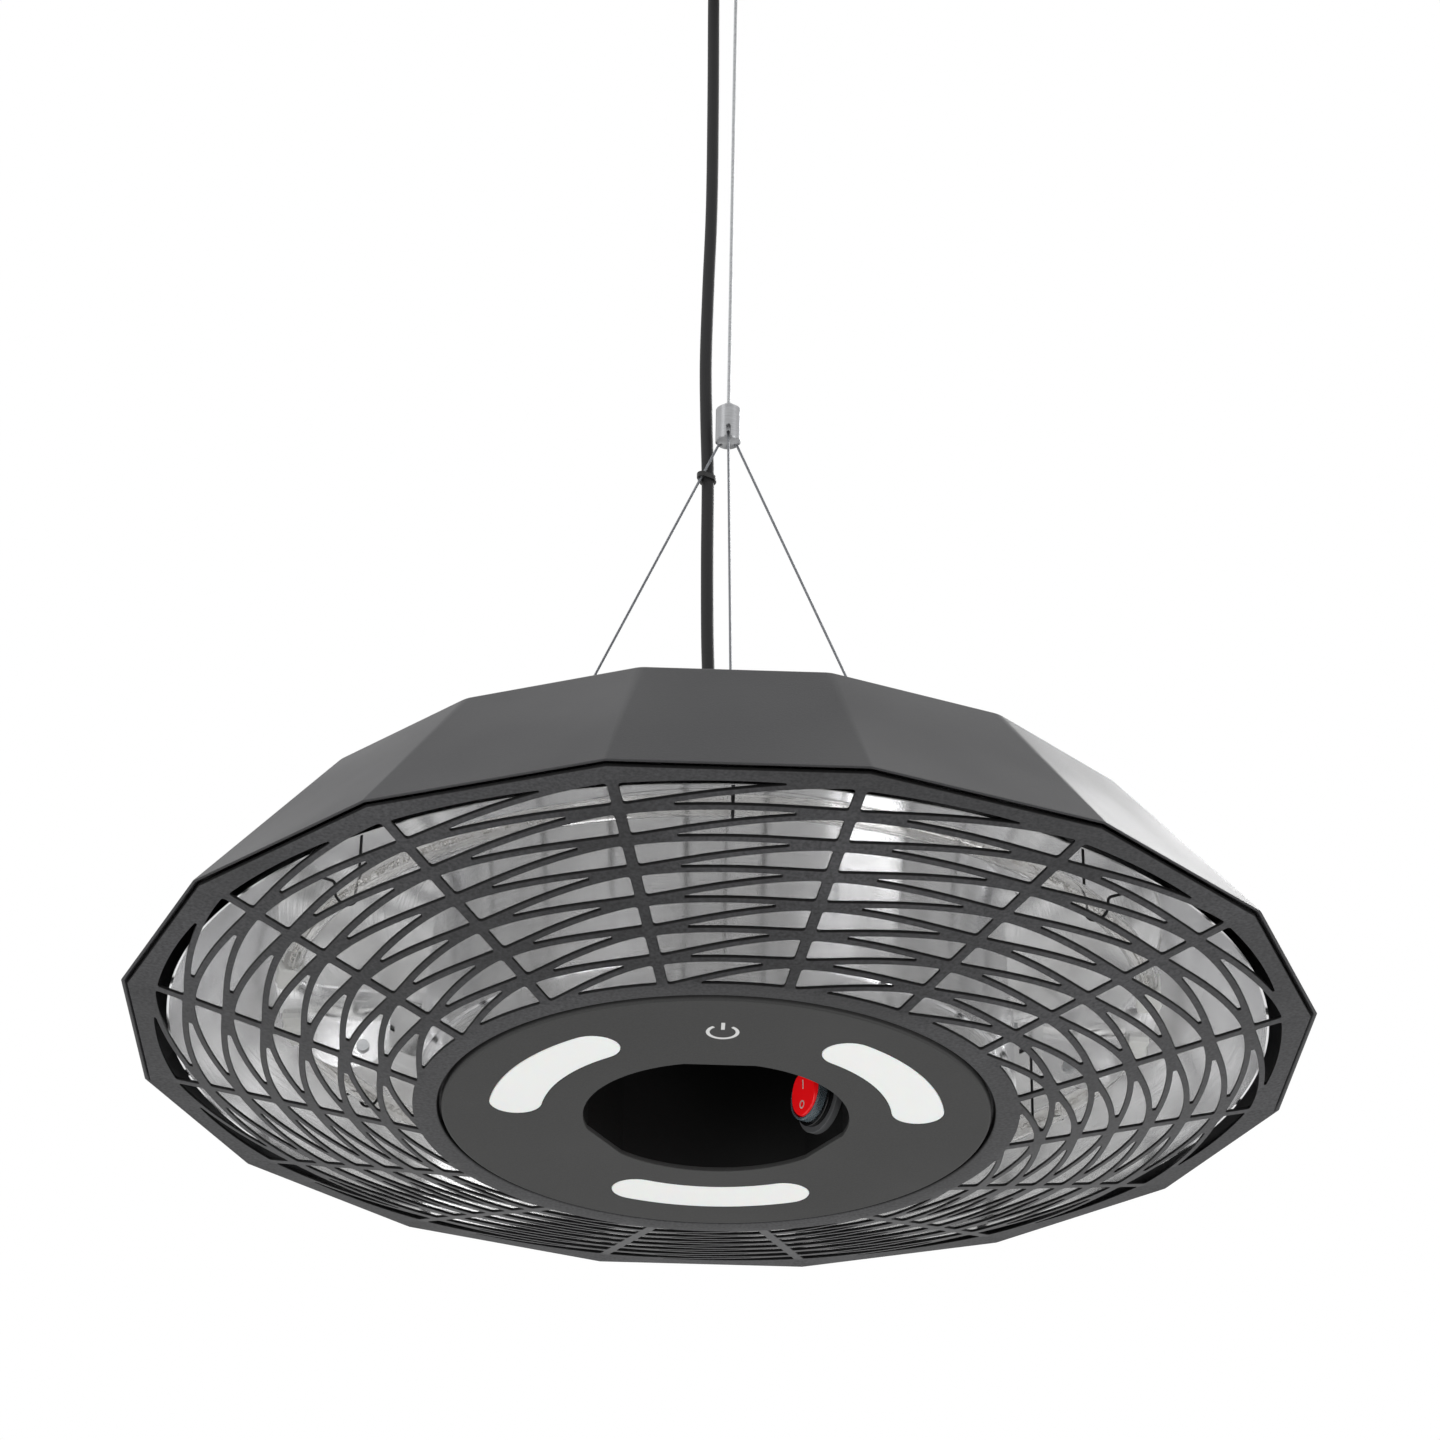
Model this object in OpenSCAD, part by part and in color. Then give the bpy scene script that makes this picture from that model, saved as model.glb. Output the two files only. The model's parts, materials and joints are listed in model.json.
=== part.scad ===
// Hanging infrared patio heater with a built-in lamp.
// Heater pieces are drawn from the lower edge of the shade (z = 0, up is +) and then lowered
// by the drop; the finished part's origin is the centre of the ceiling plate's top face.

/* [Shade] */
// Width of the shade across opposite corners of its lower edge
shade_across = 600; // [560:10:660]
// Width across opposite corners of the flat deck
deck_across = 452; // [430:4:470]
// Height from the lower edge to the deck
shade_h = 91; // [86:1:110]
// Number of flat sides, as on the grille
sides = 16; // [12:4:20]
// Sheet thickness of the shade
shade_wall = 1.6; // [1:0.1:2.2]
// Bend radius between wall and deck
deck_bend = 6; // [4:0.5:10]
// Softness of the upright edges at the lower edge
edge_soft_low = 4; // [3.5:0.5:8]
// Softness of the upright edges at the deck
edge_soft_top = 16; // [12:1:24]

/* [Grille] */
// Gap between the shade's lip and the grille's edge ring
ring_gap = 1.5; // [1:0.1:3]
// Width of the plain flat edge ring, measured at the middle of a side
ring_w = 8.7; // [6:0.1:12]
// Sheet thickness of the grille
grille_t = 1.6; // [1.2:0.1:2.2]
// Fall of the dished part per millimetre of radius
dish_slope = 0.272; // [0.2:0.004:0.3]
// Rows of slots between the edge ring and the collar
slot_rows = 7; // [5:1:8]
// Width of each straight rib that runs to a corner
rib_w = 5.2; // [4:0.2:8]
// Narrowest width of the bars between two slots
bar_w = 3.5; // [3:0.1:4]
// Extra width of the bars where they meet a rib
bar_flare = 2.6; // [1:0.2:3]
// Width of the plain collar round the lower plate
collar_w = 12.5; // [10:0.5:18]

/* [Lower plate] */
// Radius of the round lower plate
plate_r = 137.2; // [132:0.2:142]
// Gap between the plate's edge and the grille's collar
plate_gap = 1.8; // [1:0.1:3]
// Depth of the plate's face below the shade's lower edge
plate_z = 39.4; // [38:0.2:42]
// Thickness of the plate
plate_t = 2.5; // [2:0.1:3]
// Radius of the round well in the plate's middle
well_r = 66.5; // [64:0.5:70]
// Distance from the middle to the well's three flats
well_flat = 64.2; // [63:0.1:66]
// Sheet thickness of the well's wall
well_wall = 2.2; // [1.5:0.1:3]
// Height of the well's wall above the plate
well_h = 73.1; // [60:0.1:80]

/* [Lamp windows] */
// Radius of the windows' middle line
window_r = 100.8; // [98:0.2:104]
// Width of each window
window_w = 26.5; // [20:0.5:28]
// Half angle between a window's two end centres
window_half = 22.4; // [15:0.1:30]
// Clearance round each window
window_fit = 0.15; // [0.1:0.05:0.3]

/* [Lamps] */
// Outside diameter of the quartz tubes
tube_d = 11; // [9:0.5:13]
// Wall of the quartz tubes
tube_wall = 1; // [0.8:0.1:1.4]
// Outside diameter of the heating coil
coil_d = 3.4; // [2.4:0.2:5]
// Angle from the left and right to the start of each quartz tube
tube_start = 11.5; // [10:0.5:16]
// Angle from the left and right to the outer face of each end cap
cap_start = 4.5; // [3:0.5:6]
// Width and height of the ceramic end caps
cap_w = 13; // [12:0.5:15]
// Depth of the lamps' middle below the reflector's top
lamp_drop = 41; // [36:1:44]
// Distance from the lamps' middle to the reflector's upper corner
lamp_inset = 9.4; // [9:0.2:14]

/* [Reflector] */
// Sheet thickness of the reflector
reflector_t = 0.8; // [0.6:0.1:1.2]
// Gap between reflector and shade, measured level
reflector_gap = 16.3; // [12:0.1:20]
// Height of the posts between reflector and deck
post_h = 26.6; // [24:0.2:30]
// How far the inner wall's foot stands outside the lower plate's edge
inner_foot_out = 12.8; // [8.8:0.1:16.8]
// How far the inner wall leans in from its foot to its top
inner_lean = 4; // [0:0.5:7]

/* [Switch] */
// Direction of the switch, seen from the middle of the well
switch_dir = 30; // [0:1:60]
// Height of the switch above the lower edge of the shade
switch_z = -12.3; // [-16:0.1:-8]
// Turn of the switch about its own axis
switch_turn = 18; // [0:1:30]
// Radius of the rocker's ball-shaped side
rocker_r = 11.9; // [11:0.1:12.5]
// Rocker tilt to each side of the middle; it rests tilted to its off side
rocker_tilt = 8; // [5:1:9]

/* [Suspension] */
// Drop from the ceiling to the lower edge of the shade
drop = 770; // [700:10:1500]
// Height of the rope gripper's foot above the lower edge of the shade
gripper_z = 367; // [340:1:420]
// Length of the rope gripper
gripper_h = 22; // [20:1:30]
// Diameter of the rope gripper
gripper_d = 14; // [13:0.5:18]
// Diameter of the main rope
rope_d = 2; // [1.5:0.1:2.2]
// Diameter of the three leg wires
wire_d = 1.5; // [1:0.1:1.6]
// Radius on which the leg wires are anchored
anchor_r = 162.6; // [155:0.2:170]
// Diameter of the power cord
cord_d = 7; // [6:0.2:8]

/* [Ceiling fitting] */
// Diameter of the ceiling plate
plate_d = 90; // [84:1:100]
// Spacing of the two screw holes
hole_spacing = 70; // [60:1:74]
// Diameter of the screw holes
hole_d = 5; // [4:0.1:6]
// Outside diameter of the cover cup
cup_d = 100; // [96:1:120]
// Height of the cover cup
cup_h = 28; // [26:1:40]

/* [Hidden] */
$fn = 64;

// General fits
slide = 0.05;
e = 0.01;
sector = 360 / sides;
half = sector / 2;

// Shade, worked out at the middle of a flat side
rim_flat = shade_across / 2 * cos(half);
deck_flat = deck_across / 2 * cos(half);
wall_angle = atan2(shade_h, rim_flat - deck_flat);
wall_level = shade_wall / sin(wall_angle);
deck_under = shade_h - shade_wall;
bend_steps = 3;
bend_x = deck_flat - deck_bend * tan(wall_angle / 2);
corner_steps = 3;
function inner_flat(z) = rim_flat - wall_level - z / tan(wall_angle);

// Grille
ring_flat = inner_flat(0) - ring_gap;
ring_r = ring_flat - ring_w;
dish_r = ring_r + 3;
lip_r = plate_r + plate_gap;
collar_r = lip_r + collar_w;
lip_bend = 2;
function dish_z(r) = -(dish_r - r) * dish_slope;
collar_z = dish_z(collar_r - 1.5);
pitch = (ring_r - collar_r + 6.7) / slot_rows;
tip = 1 - (bar_w + 0.9) / pitch;
tip_ring = (ring_r - row_r(1) - bar_w / 2 - 0.6) / pitch;
tip_collar = 1 - (collar_r - row_r(slot_rows) + bar_w / 2 + 0.6) / pitch;
slot_steps = 3;
tip_ease = 0.6;
function row_r(k) = ring_r + 3.4 - pitch * k;
function half_bar(t) = bar_w / 2 + bar_flare / 2 * pow(abs(2 * t - 1), 3);
function polar(r, a) = [r * cos(a), r * sin(a)];
function at(r, t) = let(edge = asin(rib_w / 2 / r)) polar(r, edge + t * (sector - 2 * edge));

// Plate, flange and core levels
plate_top = plate_t - plate_z;
flange_t = 1.6;
plate_rim = 2;
flange_under = plate_top + 2.3;
flange_top = flange_under + flange_t;
flange_in = plate_r - 11.2;
drum_wall = 1.2;
drum_r = plate_r - 12;
drum_foot = drum_r + 14.5;
screw_ring = (drum_r + plate_r - plate_rim) / 2;
tray_t = 1.2;
tray_z = plate_top + well_h;
ledge_t = 1.2;
tray_screw_ring = well_flat - 14.2;

// Reflector
reflector_z = deck_under - post_h - reflector_t;
lip_z = -0.3;
reflector_lip_r = inner_flat(0) - reflector_gap;
reflector_top_r = inner_flat(reflector_z) - reflector_gap;
inner_foot_z = -24;
inner_foot_r = plate_r + inner_foot_out;
inner_top_r = inner_foot_r - inner_lean;
inner_rim = 12;
inner_step = 2;
skirt_z = collar_z + 0.3;
post_r = 4;
post_ring = (reflector_top_r + inner_top_r) / 2 + 4;

// Lamps
lamp_r = reflector_top_r - lamp_inset;
lamp_z = reflector_z - lamp_drop;
clip_wire = 0.75;
clip_foot = 9;
clip_end = 4;
cap_neck = cap_start + (tube_start - cap_start) * 0.35;
pinch_h = 8;
bracket_t = 1.5;
bracket_in = lamp_r - 51;
bracket_out = lamp_r - 9;
bracket_back = 3;
bracket_bend = 8;
arm_w = 8;
shelf_z = lamp_z - bracket_t / 2;
face_y = bracket_back + bracket_bend;
face_r = 24;
face_low = lamp_z - 33;
earth_x = lamp_r - 38;
earth_z = lamp_z - 21;
foot_low = lamp_z - 13;
foot_screw_z = lamp_z - 7;
function wall_r(z) = inner_foot_r
  + (inner_top_r - inner_foot_r) * (z - inner_foot_z) / (reflector_z - reflector_t - inner_foot_z);
function bend_arc(r) = [for (a = [90:-15:0])
  [bracket_back + r * cos(a), shelf_z - bracket_bend + r * sin(a)]];

// Board stack in the lower plate
window_flange = 3.5;
window_lip_t = 1;
board_z = plate_top + window_lip_t;
board_t = 1.6;

// Switch, measured out from the well's middle along its own axis
wall_face = well_flat;
boss_h = 3.7;
boss_r = 18.7;
bezel_r = 15.8;
bezel_h = 3;
bezel_x = wall_face - boss_h - bezel_h;
pocket_r = rocker_r + 0.1;
collar_wall = 1;
collar_h = 4;
seal_t = 0.85;
pivot_x = bezel_x - 1.5;
rocker_face = 5;
face_hollow_r = 60;
rocker_back = 2;
pin_r = 1.2;
barrel_r = 10;
barrel_l = 23.5;

// Suspension
leg_dirs = [-90, 30, 150];
anchor_foot = 3;
leg_low = [anchor_r, shade_h + 5];
leg_top = [2.6, gripper_z + 6];
leg_run = norm(leg_top - leg_low);
leg_lean = atan2(leg_low[0] - leg_top[0], leg_top[1] - leg_low[1]);
barrel_len = 14;
stud_r = 2;
rope_end = gripper_z + 3.5;
slot_in = 3.4;
slot_half = 1.2;
slot_h = 7;
plunger_r = 3;
plunger_out = 3;
plunger_travel = 2;
plunger_l = 13;

// Power cord route from the ceiling terminal down to the mains terminal, from its real height
gland_xy = [-8, 12];
ceiling_gland_xy = [-13, 12];
terminal_h = 14;
cord_bottom = tray_z + tray_t + terminal_h;
cord_route = [
  [-13, 12, 700], [-12, 12, 620], [-11.5, 12, 540], [-12.5, 12, 480], [-13, 12, 430],
  [-12, 12, 390], [-10.5, 12, 350], [-10, 12, 300], [-9, 12, 250], [-7.5, 12, 210],
  [-7, 12, 170], [-8, 12, 130]
];
cord_sides = 10;
cord_steps = 3;
tie_z = 350;
tie_h = 3;

// Ceiling
plate_th = 2;
cup_wall = 1.2;
coupler_r = 5;
coupler_h = 14;
stud_big = 3;
boss_len = 8;
terminal_top_h = 18;

// A skin through a list of closed rings, from the first cap to the last
function ring_faces(n, m) = concat(
  [[for (j = [n - 1:-1:0]) j]],
  [for (i = [0:m - 2], j = [0:n - 1])
    [i * n + j, i * n + (j + 1) % n, (i + 1) * n + (j + 1) % n, (i + 1) * n + j]],
  [[for (j = [0:n - 1]) (m - 1) * n + j]]);
module loft(rings)
  polyhedron([for (r = rings, p = r) p], ring_faces(len(rings[0]), len(rings)));

// One closed outline of the shade: straight sides with softened corners
function side_ring(flat, soft_r, z) = [
  for (k = [0:sides - 1], j = [0:corner_steps])
    let(a = k * sector + half, c = (flat - soft_r) / cos(half),
        b = k * sector + sector * j / corner_steps)
      [c * cos(a) + soft_r * cos(b), c * sin(a) + soft_r * sin(b), z]];
function bend_rings(r, soft_r) = [
  for (i = [0:bend_steps]) let(b = 90 - wall_angle * i / bend_steps)
    side_ring(bend_x + r * cos(b), soft_r + r * (cos(b) - 1), shade_h - deck_bend + r * sin(b))];
function reversed(list) = [for (i = [len(list) - 1:-1:0]) list[i]];

module heater() translate([0, 0, -drop]) children();
module ring_solid(r_out, r_in, z0, h) translate([0, 0, z0]) difference() {
  cylinder(r = r_out, h = h);
  translate([0, 0, -1]) cylinder(r = r_in, h = h + 2);
}
module around(count, r, first = 0)
  for (i = [0:count - 1]) rotate(first + i * 360 / count) translate([r, 0, 0]) children();
module block(x0, x1, y0, y1, z0, z1) translate([x0, y0, z0]) cube([x1 - x0, y1 - y0, z1 - z0]);

module housing_shade() color("#58585a") heater() difference() {
  loft(concat(bend_rings(deck_bend, edge_soft_top),
              [side_ring(rim_flat, edge_soft_low, 0),
               side_ring(rim_flat - wall_level, edge_soft_low - wall_level + 1, 0)],
              reversed(bend_rings(deck_bend - shade_wall, edge_soft_top - wall_level))));
  for (a = leg_dirs) rotate(a) translate([anchor_r, 0, shade_h - 5])
    cylinder(r = stud_r + slide, h = 10);
  translate([gland_xy[0], gland_xy[1], shade_h - 5]) cylinder(r = 6 + slide, h = 10);
}

// Slot with its wide end at the rib at the start of a sector, and one the other way round.
// Its edges draw apart a little towards its tip, which keeps the tip blunt.
function edge_at(t, u) = half_bar(t) - tip_ease * pow(u, 3);
function slot_a(k) = let(end = k == 0 ? tip_ring : tip) concat(
  [for (i = [0:slot_steps]) let(u = i / slot_steps, t = end * u)
    at(min(row_r(k) - edge_at(t, u), ring_r), t)],
  [for (i = [slot_steps:-1:0]) let(u = i / slot_steps, t = end * u)
    at(row_r(k + 1) + pitch * t + edge_at(t, u), t)]);
function slot_b(k) = let(end = k == slot_rows - 1 ? tip_collar : tip) concat(
  [for (i = [0:slot_steps]) let(u = i / slot_steps, t = 1 - end * u)
    at(row_r(k + 1) + pitch * t - edge_at(t, u), t)],
  [for (i = [slot_steps:-1:0]) let(u = i / slot_steps, t = 1 - end * u)
    at(max(row_r(k + 1) + edge_at(t, u), collar_r), t)]);
module side_prism(flat, z0, h) translate([0, 0, z0]) linear_extrude(h)
  polygon([for (i = [0:sides - 1]) polar(flat / cos(half), (i + 0.5) * sector)]);
module grille() color("#4f4f51") heater() difference() {
  intersection() {
    rotate_extrude($fn = 128) polygon([
      [ring_flat + 20, 0], [dish_r, 0], [collar_r - 1.5, collar_z], [lip_r + grille_t, collar_z],
      [lip_r + grille_t, flange_top], [flange_in, flange_top], [flange_in, flange_under],
      [lip_r, flange_under], [lip_r, collar_z - grille_t + lip_bend],
      [lip_r + lip_bend * 0.3, collar_z - grille_t + lip_bend * 0.3],
      [lip_r + lip_bend, collar_z - grille_t], [collar_r - 1.5, collar_z - grille_t],
      [dish_r, -grille_t], [ring_flat + 20, -grille_t]]);
    side_prism(ring_flat, -60, 80);
  }
  translate([0, 0, -60]) linear_extrude(80)
    for (i = [0:sides - 1]) rotate((i + 0.5) * sector)
      for (k = [0:slot_rows - 1]) {
        polygon(slot_a(k));
        polygon(slot_b(k));
      }
  around(6, screw_ring, 15) translate([0, 0, flange_under - 1]) cylinder(r = 1.5 + slide, h = 4);
}
module grille_screws() color("silver") heater() around(6, screw_ring, 15) {
  translate([0, 0, flange_under - 1.8]) cylinder(r = 2.8, h = 1.8);
  translate([0, 0, flange_under - 0.5]) cylinder(r = 1.5, h = flange_t + 5);
}
module core_drum() color("#8a8c8e") heater() difference() {
  union() {
    ring_solid(drum_r, drum_r - drum_wall, flange_top, deck_under - flange_top);
    ring_solid(drum_foot, drum_r - drum_wall, flange_top, flange_t);
    ring_solid(drum_r - drum_wall + e, drum_r - 13, deck_under - drum_wall, drum_wall);
    ring_solid(drum_r - drum_wall + e, drum_r - 6, tray_z - ledge_t, ledge_t);
  }
  around(6, screw_ring, 15) translate([0, 0, flange_top - 1]) cylinder(r = 1.5 + slide, h = 9);
}

module reflector() color("#d9dadb") heater() rotate_extrude($fn = 128) polygon([
  [reflector_lip_r, lip_z], [reflector_top_r, reflector_z + reflector_t],
  [inner_foot_r - 2, reflector_z + reflector_t], [inner_foot_r - 2, reflector_z],
  [reflector_top_r - reflector_t, reflector_z], [reflector_lip_r - reflector_t * 1.3, lip_z]]);
// Wall with a rim at its top, a small step at its foot and a skirt down to the grille's collar
module reflector_inner_wall() color("#d9dadb") heater() difference() {
  rotate_extrude($fn = 128) polygon([
    [inner_foot_r, inner_foot_z], [inner_top_r, reflector_z - reflector_t],
    [inner_top_r + inner_rim, reflector_z - reflector_t], [inner_top_r + inner_rim, reflector_z],
    [inner_top_r - reflector_t, reflector_z],
    [inner_foot_r - reflector_t, inner_foot_z + reflector_t],
    [inner_foot_r - inner_step - reflector_t, inner_foot_z + reflector_t],
    [inner_foot_r - inner_step - reflector_t, skirt_z], [inner_foot_r - inner_step, skirt_z],
    [inner_foot_r - inner_step, inner_foot_z]]);
  for (m = [0, 1]) mirror([m, 0, 0]) foot_screw() along_x(-5, 1.5 + slide, 12);
}
module reflector_posts() color("silver") heater() around(4, post_ring, 45)
  translate([0, 0, deck_under - post_h]) cylinder(r = post_r, h = post_h);

// An arc of a ring round the heater's axis with a given section
module arc(from, to) rotate(from) rotate_extrude(angle = to - from, $fn = 128) children();
module lamp_tube(turn) color("#e8e4df", 0.5) heater() rotate(turn)
  arc(tube_start, 180 - tube_start) translate([lamp_r, lamp_z]) difference() {
    circle(d = tube_d);
    circle(d = tube_d - 2 * tube_wall);
  }
module heating_coil(turn) color("#b9a58c") heater() rotate(turn)
  arc(tube_start, 180 - tube_start) translate([lamp_r, lamp_z]) circle(d = coil_d, $fn = 24);
module lamp_tube_near() lamp_tube(180);
module lamp_tube_far() lamp_tube(0);
module heating_coil_near() heating_coil(180);
module heating_coil_far() heating_coil(0);
module lamp_caps() color("white") heater()
  for (turn = [0, 180], m = [0, 1]) rotate(turn) mirror([m, 0, 0]) {
    arc(cap_neck - 0.01, tube_start) translate([lamp_r, lamp_z]) square(cap_w, center = true);
    arc(cap_start, cap_neck) translate([lamp_r, lamp_z])
      square([cap_w - 2, pinch_h], center = true);
  }
// Bent sheet: an arm from the inner wall, a shelf between the caps and a face hanging from it
module lamp_bracket() heater() difference() {
  union() {
    translate([0, 0, shelf_z]) linear_extrude(bracket_t) polygon([
      [wall_r(lamp_z) + bracket_t / 2, -arm_w], [bracket_in, -arm_w],
      polar(lamp_r - cap_w / 2, -cap_start), polar(lamp_r + cap_w / 2, -cap_start),
      polar(lamp_r + cap_w / 2, cap_start), polar(lamp_r - cap_w / 2, cap_start),
      [bracket_out, bracket_back], [wall_r(lamp_z) + bracket_t / 2, bracket_back]]);
    intersection() {
      translate([bracket_in, 0, 0]) rotate([90, 0, 90])
        linear_extrude(bracket_out - bracket_in) polygon(concat(
          [[0, shelf_z], [0, shelf_z + bracket_t]], bend_arc(bracket_bend + bracket_t),
          [[face_y + bracket_t, face_low - 2], [face_y, face_low - 2]],
          reversed(bend_arc(bracket_bend))));
      translate([(bracket_in + bracket_out) / 2, 0, face_low + face_r]) rotate([90, 0, 0])
        cylinder(r = face_r, h = 60, center = true);
    }
    arc(-3.1, 1.15) polygon([
      [wall_r(shelf_z + bracket_t), shelf_z + bracket_t],
      [wall_r(shelf_z + bracket_t) + bracket_t, shelf_z + bracket_t],
      [wall_r(foot_low) + bracket_t, foot_low], [wall_r(foot_low), foot_low]]);
  }
  foot_screw() along_x(-5, 1.5 + slide, 12);
  earth_screw() cylinder(r = 1.5 + slide, h = 8, center = true);
}
module foot_screw() translate([wall_r(foot_screw_z - 2.8) + bracket_t, -2.5, foot_screw_z])
  children();
module earth_screw() translate([earth_x, face_y, earth_z]) rotate([90, 0, 0]) children();
module lamp_bracket_left() color("gainsboro") mirror([1, 0, 0]) lamp_bracket();
module lamp_bracket_right() color("gainsboro") lamp_bracket();
module bracket_screws() color("silver") heater() for (m = [0, 1]) mirror([m, 0, 0]) {
  foot_screw() along_x(0, 2.8, 2);
  foot_screw() along_x(-5, 1.5, 6);
  earth_screw() cylinder(r = 3.2, h = 2);
  earth_screw() translate([0, 0, -5]) cylinder(r = 1.5, h = 6);
}
// Bent wire: a foot along the reflector's top, a leg, a hook under the tube and a free end
module lamp_clips() color("#2b2b2b") heater()
  for (m = [0, 1], a = [35, 90, 147]) mirror([0, m, 0]) rotate(a)
    translate([lamp_r, 0, lamp_z]) {
      hook = tube_d / 2 + clip_wire + slide;
      foot_z = reflector_z - lamp_z - clip_wire;
      rotate([90, 0, 0]) rotate([0, 0, 180]) rotate_extrude(angle = 180, $fn = 48)
        translate([hook, 0]) circle(r = clip_wire, $fn = 16);
      translate([hook, 0, 0]) cylinder(r = clip_wire, h = clip_end, $fn = 16);
      translate([hook, 0, clip_end]) sphere(r = clip_wire, $fn = 16);
      translate([hook, 0, clip_end]) rotate([0, 90, 0])
        cylinder(r = clip_wire, h = clip_foot, $fn = 16);
      translate([-hook, 0, 0]) cylinder(r = clip_wire, h = foot_z, $fn = 16);
      translate([-hook, 0, foot_z]) sphere(r = clip_wire, $fn = 16);
      translate([-hook, 0, foot_z]) rotate([a > 90 ? 90 : -90, 0, 0])
        cylinder(r = clip_wire, h = clip_foot, $fn = 16);
    }

// Round outline with three flats, as the well has
module well_outline(r, flat) intersection() {
  circle(r = r, $fn = 128);
  polygon([for (a = leg_dirs) polar(2 * flat, a + 60)]);
}
// A window's ends are a shade rounder than its width, so they cross the long edges cleanly
window_end = 0.3;
module window_outline(grow) intersection() {
  difference() {
    circle(r = window_r + window_w / 2 + grow, $fn = 128);
    circle(r = window_r - window_w / 2 - grow, $fn = 128);
  }
  union() {
    for (s = [-1, 1]) rotate(s * window_half) translate([window_r, 0])
      circle(r = window_w / 2 + grow + window_end);
    polygon([[0, 0], polar(300, -window_half), [300, 0], polar(300, window_half)]);
  }
}
window_dirs = [90, 210, 330];
module lower_plate() color("#484848") heater() difference() {
  translate([0, 0, -plate_z]) rotate_extrude($fn = 128) polygon([
    [well_flat / 2, 0], [plate_r - 1.2, 0], [plate_r - 0.35, 0.35], [plate_r, 1.2],
    [plate_r, flange_under + plate_z], [plate_r - plate_rim, flange_under + plate_z],
    [plate_r - plate_rim, plate_t], [well_flat / 2, plate_t]]);
  translate([0, 0, -plate_z - 1]) linear_extrude(plate_t + 2) well_outline(well_r, well_flat);
  for (a = window_dirs) rotate(a) translate([0, 0, -plate_z - 1]) linear_extrude(plate_t + 2)
    window_outline(0);
}
module well_tube() color("#161616") heater() difference() {
  union() {
    translate([0, 0, plate_top]) linear_extrude(well_h)
      well_outline(well_r + well_wall, well_flat + well_wall);
    translate([0, 0, plate_top]) linear_extrude(2)
      well_outline(well_r + well_wall + 5.8, well_flat + well_wall + 5.8);
  }
  translate([0, 0, plate_top - 1]) linear_extrude(well_h - well_wall + 1)
    well_outline(well_r, well_flat);
  in_switch() along_x(wall_face - 3, barrel_r + slide, 10);
  around(3, tray_screw_ring, 90) translate([0, 0, tray_z - well_wall - 1])
    cylinder(r = 1.5 + slide, h = well_wall + 2);
}
module control_tray() color("#9c9ea0") heater() difference() {
  translate([0, 0, tray_z]) cylinder(r = drum_r - drum_wall - 0.2, h = tray_t);
  around(3, tray_screw_ring, 90) translate([0, 0, tray_z - 1])
    cylinder(r = 1.5 + slide, h = tray_t + 2);
}
module tray_screws() color("silver") heater() around(3, tray_screw_ring, 90) {
  translate([0, 0, tray_z + tray_t]) cylinder(r = 2.8, h = 2);
  translate([0, 0, tray_z - well_wall]) cylinder(r = 1.5, h = well_wall + tray_t + 1);
}
tray_top = tray_z + tray_t;
module mains_terminal() color("#d8d2c0") heater() {
  block(-23, 7, 2, 22, tray_top, cord_bottom);
}
board_x = [drum_r - 103, drum_r - 33];
board_y = [-40, 20];
spacer_h = 6;
module control_board() color("#2e5d3a") heater()
  block(board_x[0], board_x[1], board_y[0], board_y[1], tray_top + spacer_h,
        tray_top + spacer_h + 1.6);
module board_spacers() color("#c8a24a") heater()
  for (x = [board_x[0] + 4, board_x[1] - 4], y = [board_y[0] + 4, board_y[1] - 4])
    translate([x, y, tray_top]) cylinder(r = 2.5, h = spacer_h);
module relays() color("#1c1c1c") heater() for (i = [0:2])
  block(board_x[0] + 6 + 20 * i, board_x[0] + 22 + 20 * i, board_y[1] - 26, board_y[1] - 6,
        tray_top + spacer_h + 1.6, tray_top + spacer_h + 16);
driver_l = 48;
driver_in = tray_screw_ring + 2.2;
module lamp_driver() color("#e6e6e2") heater()
  block(-driver_in - driver_l, -driver_in, -45, -15, tray_top, tray_top + 20);

module light_window() color("#efefef") heater() {
  translate([0, 0, -plate_z]) linear_extrude(plate_t + e) window_outline(-window_fit);
  translate([0, 0, plate_top]) linear_extrude(window_lip_t) window_outline(window_flange);
}
module light_window_1() rotate(window_dirs[0]) light_window();
module light_window_2() rotate(window_dirs[1]) light_window();
module light_window_3() rotate(window_dirs[2]) light_window();
module light_board() color("#f4f4f0") heater()
  ring_solid(drum_r - 4.2, well_r + well_wall + 7.3, board_z, board_t);
module touch_sensor() color("#3c3c3c") heater() rotate(-90)
  translate([window_r + 1.2, 0, plate_top]) cylinder(r = 8, h = window_lip_t);

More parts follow.
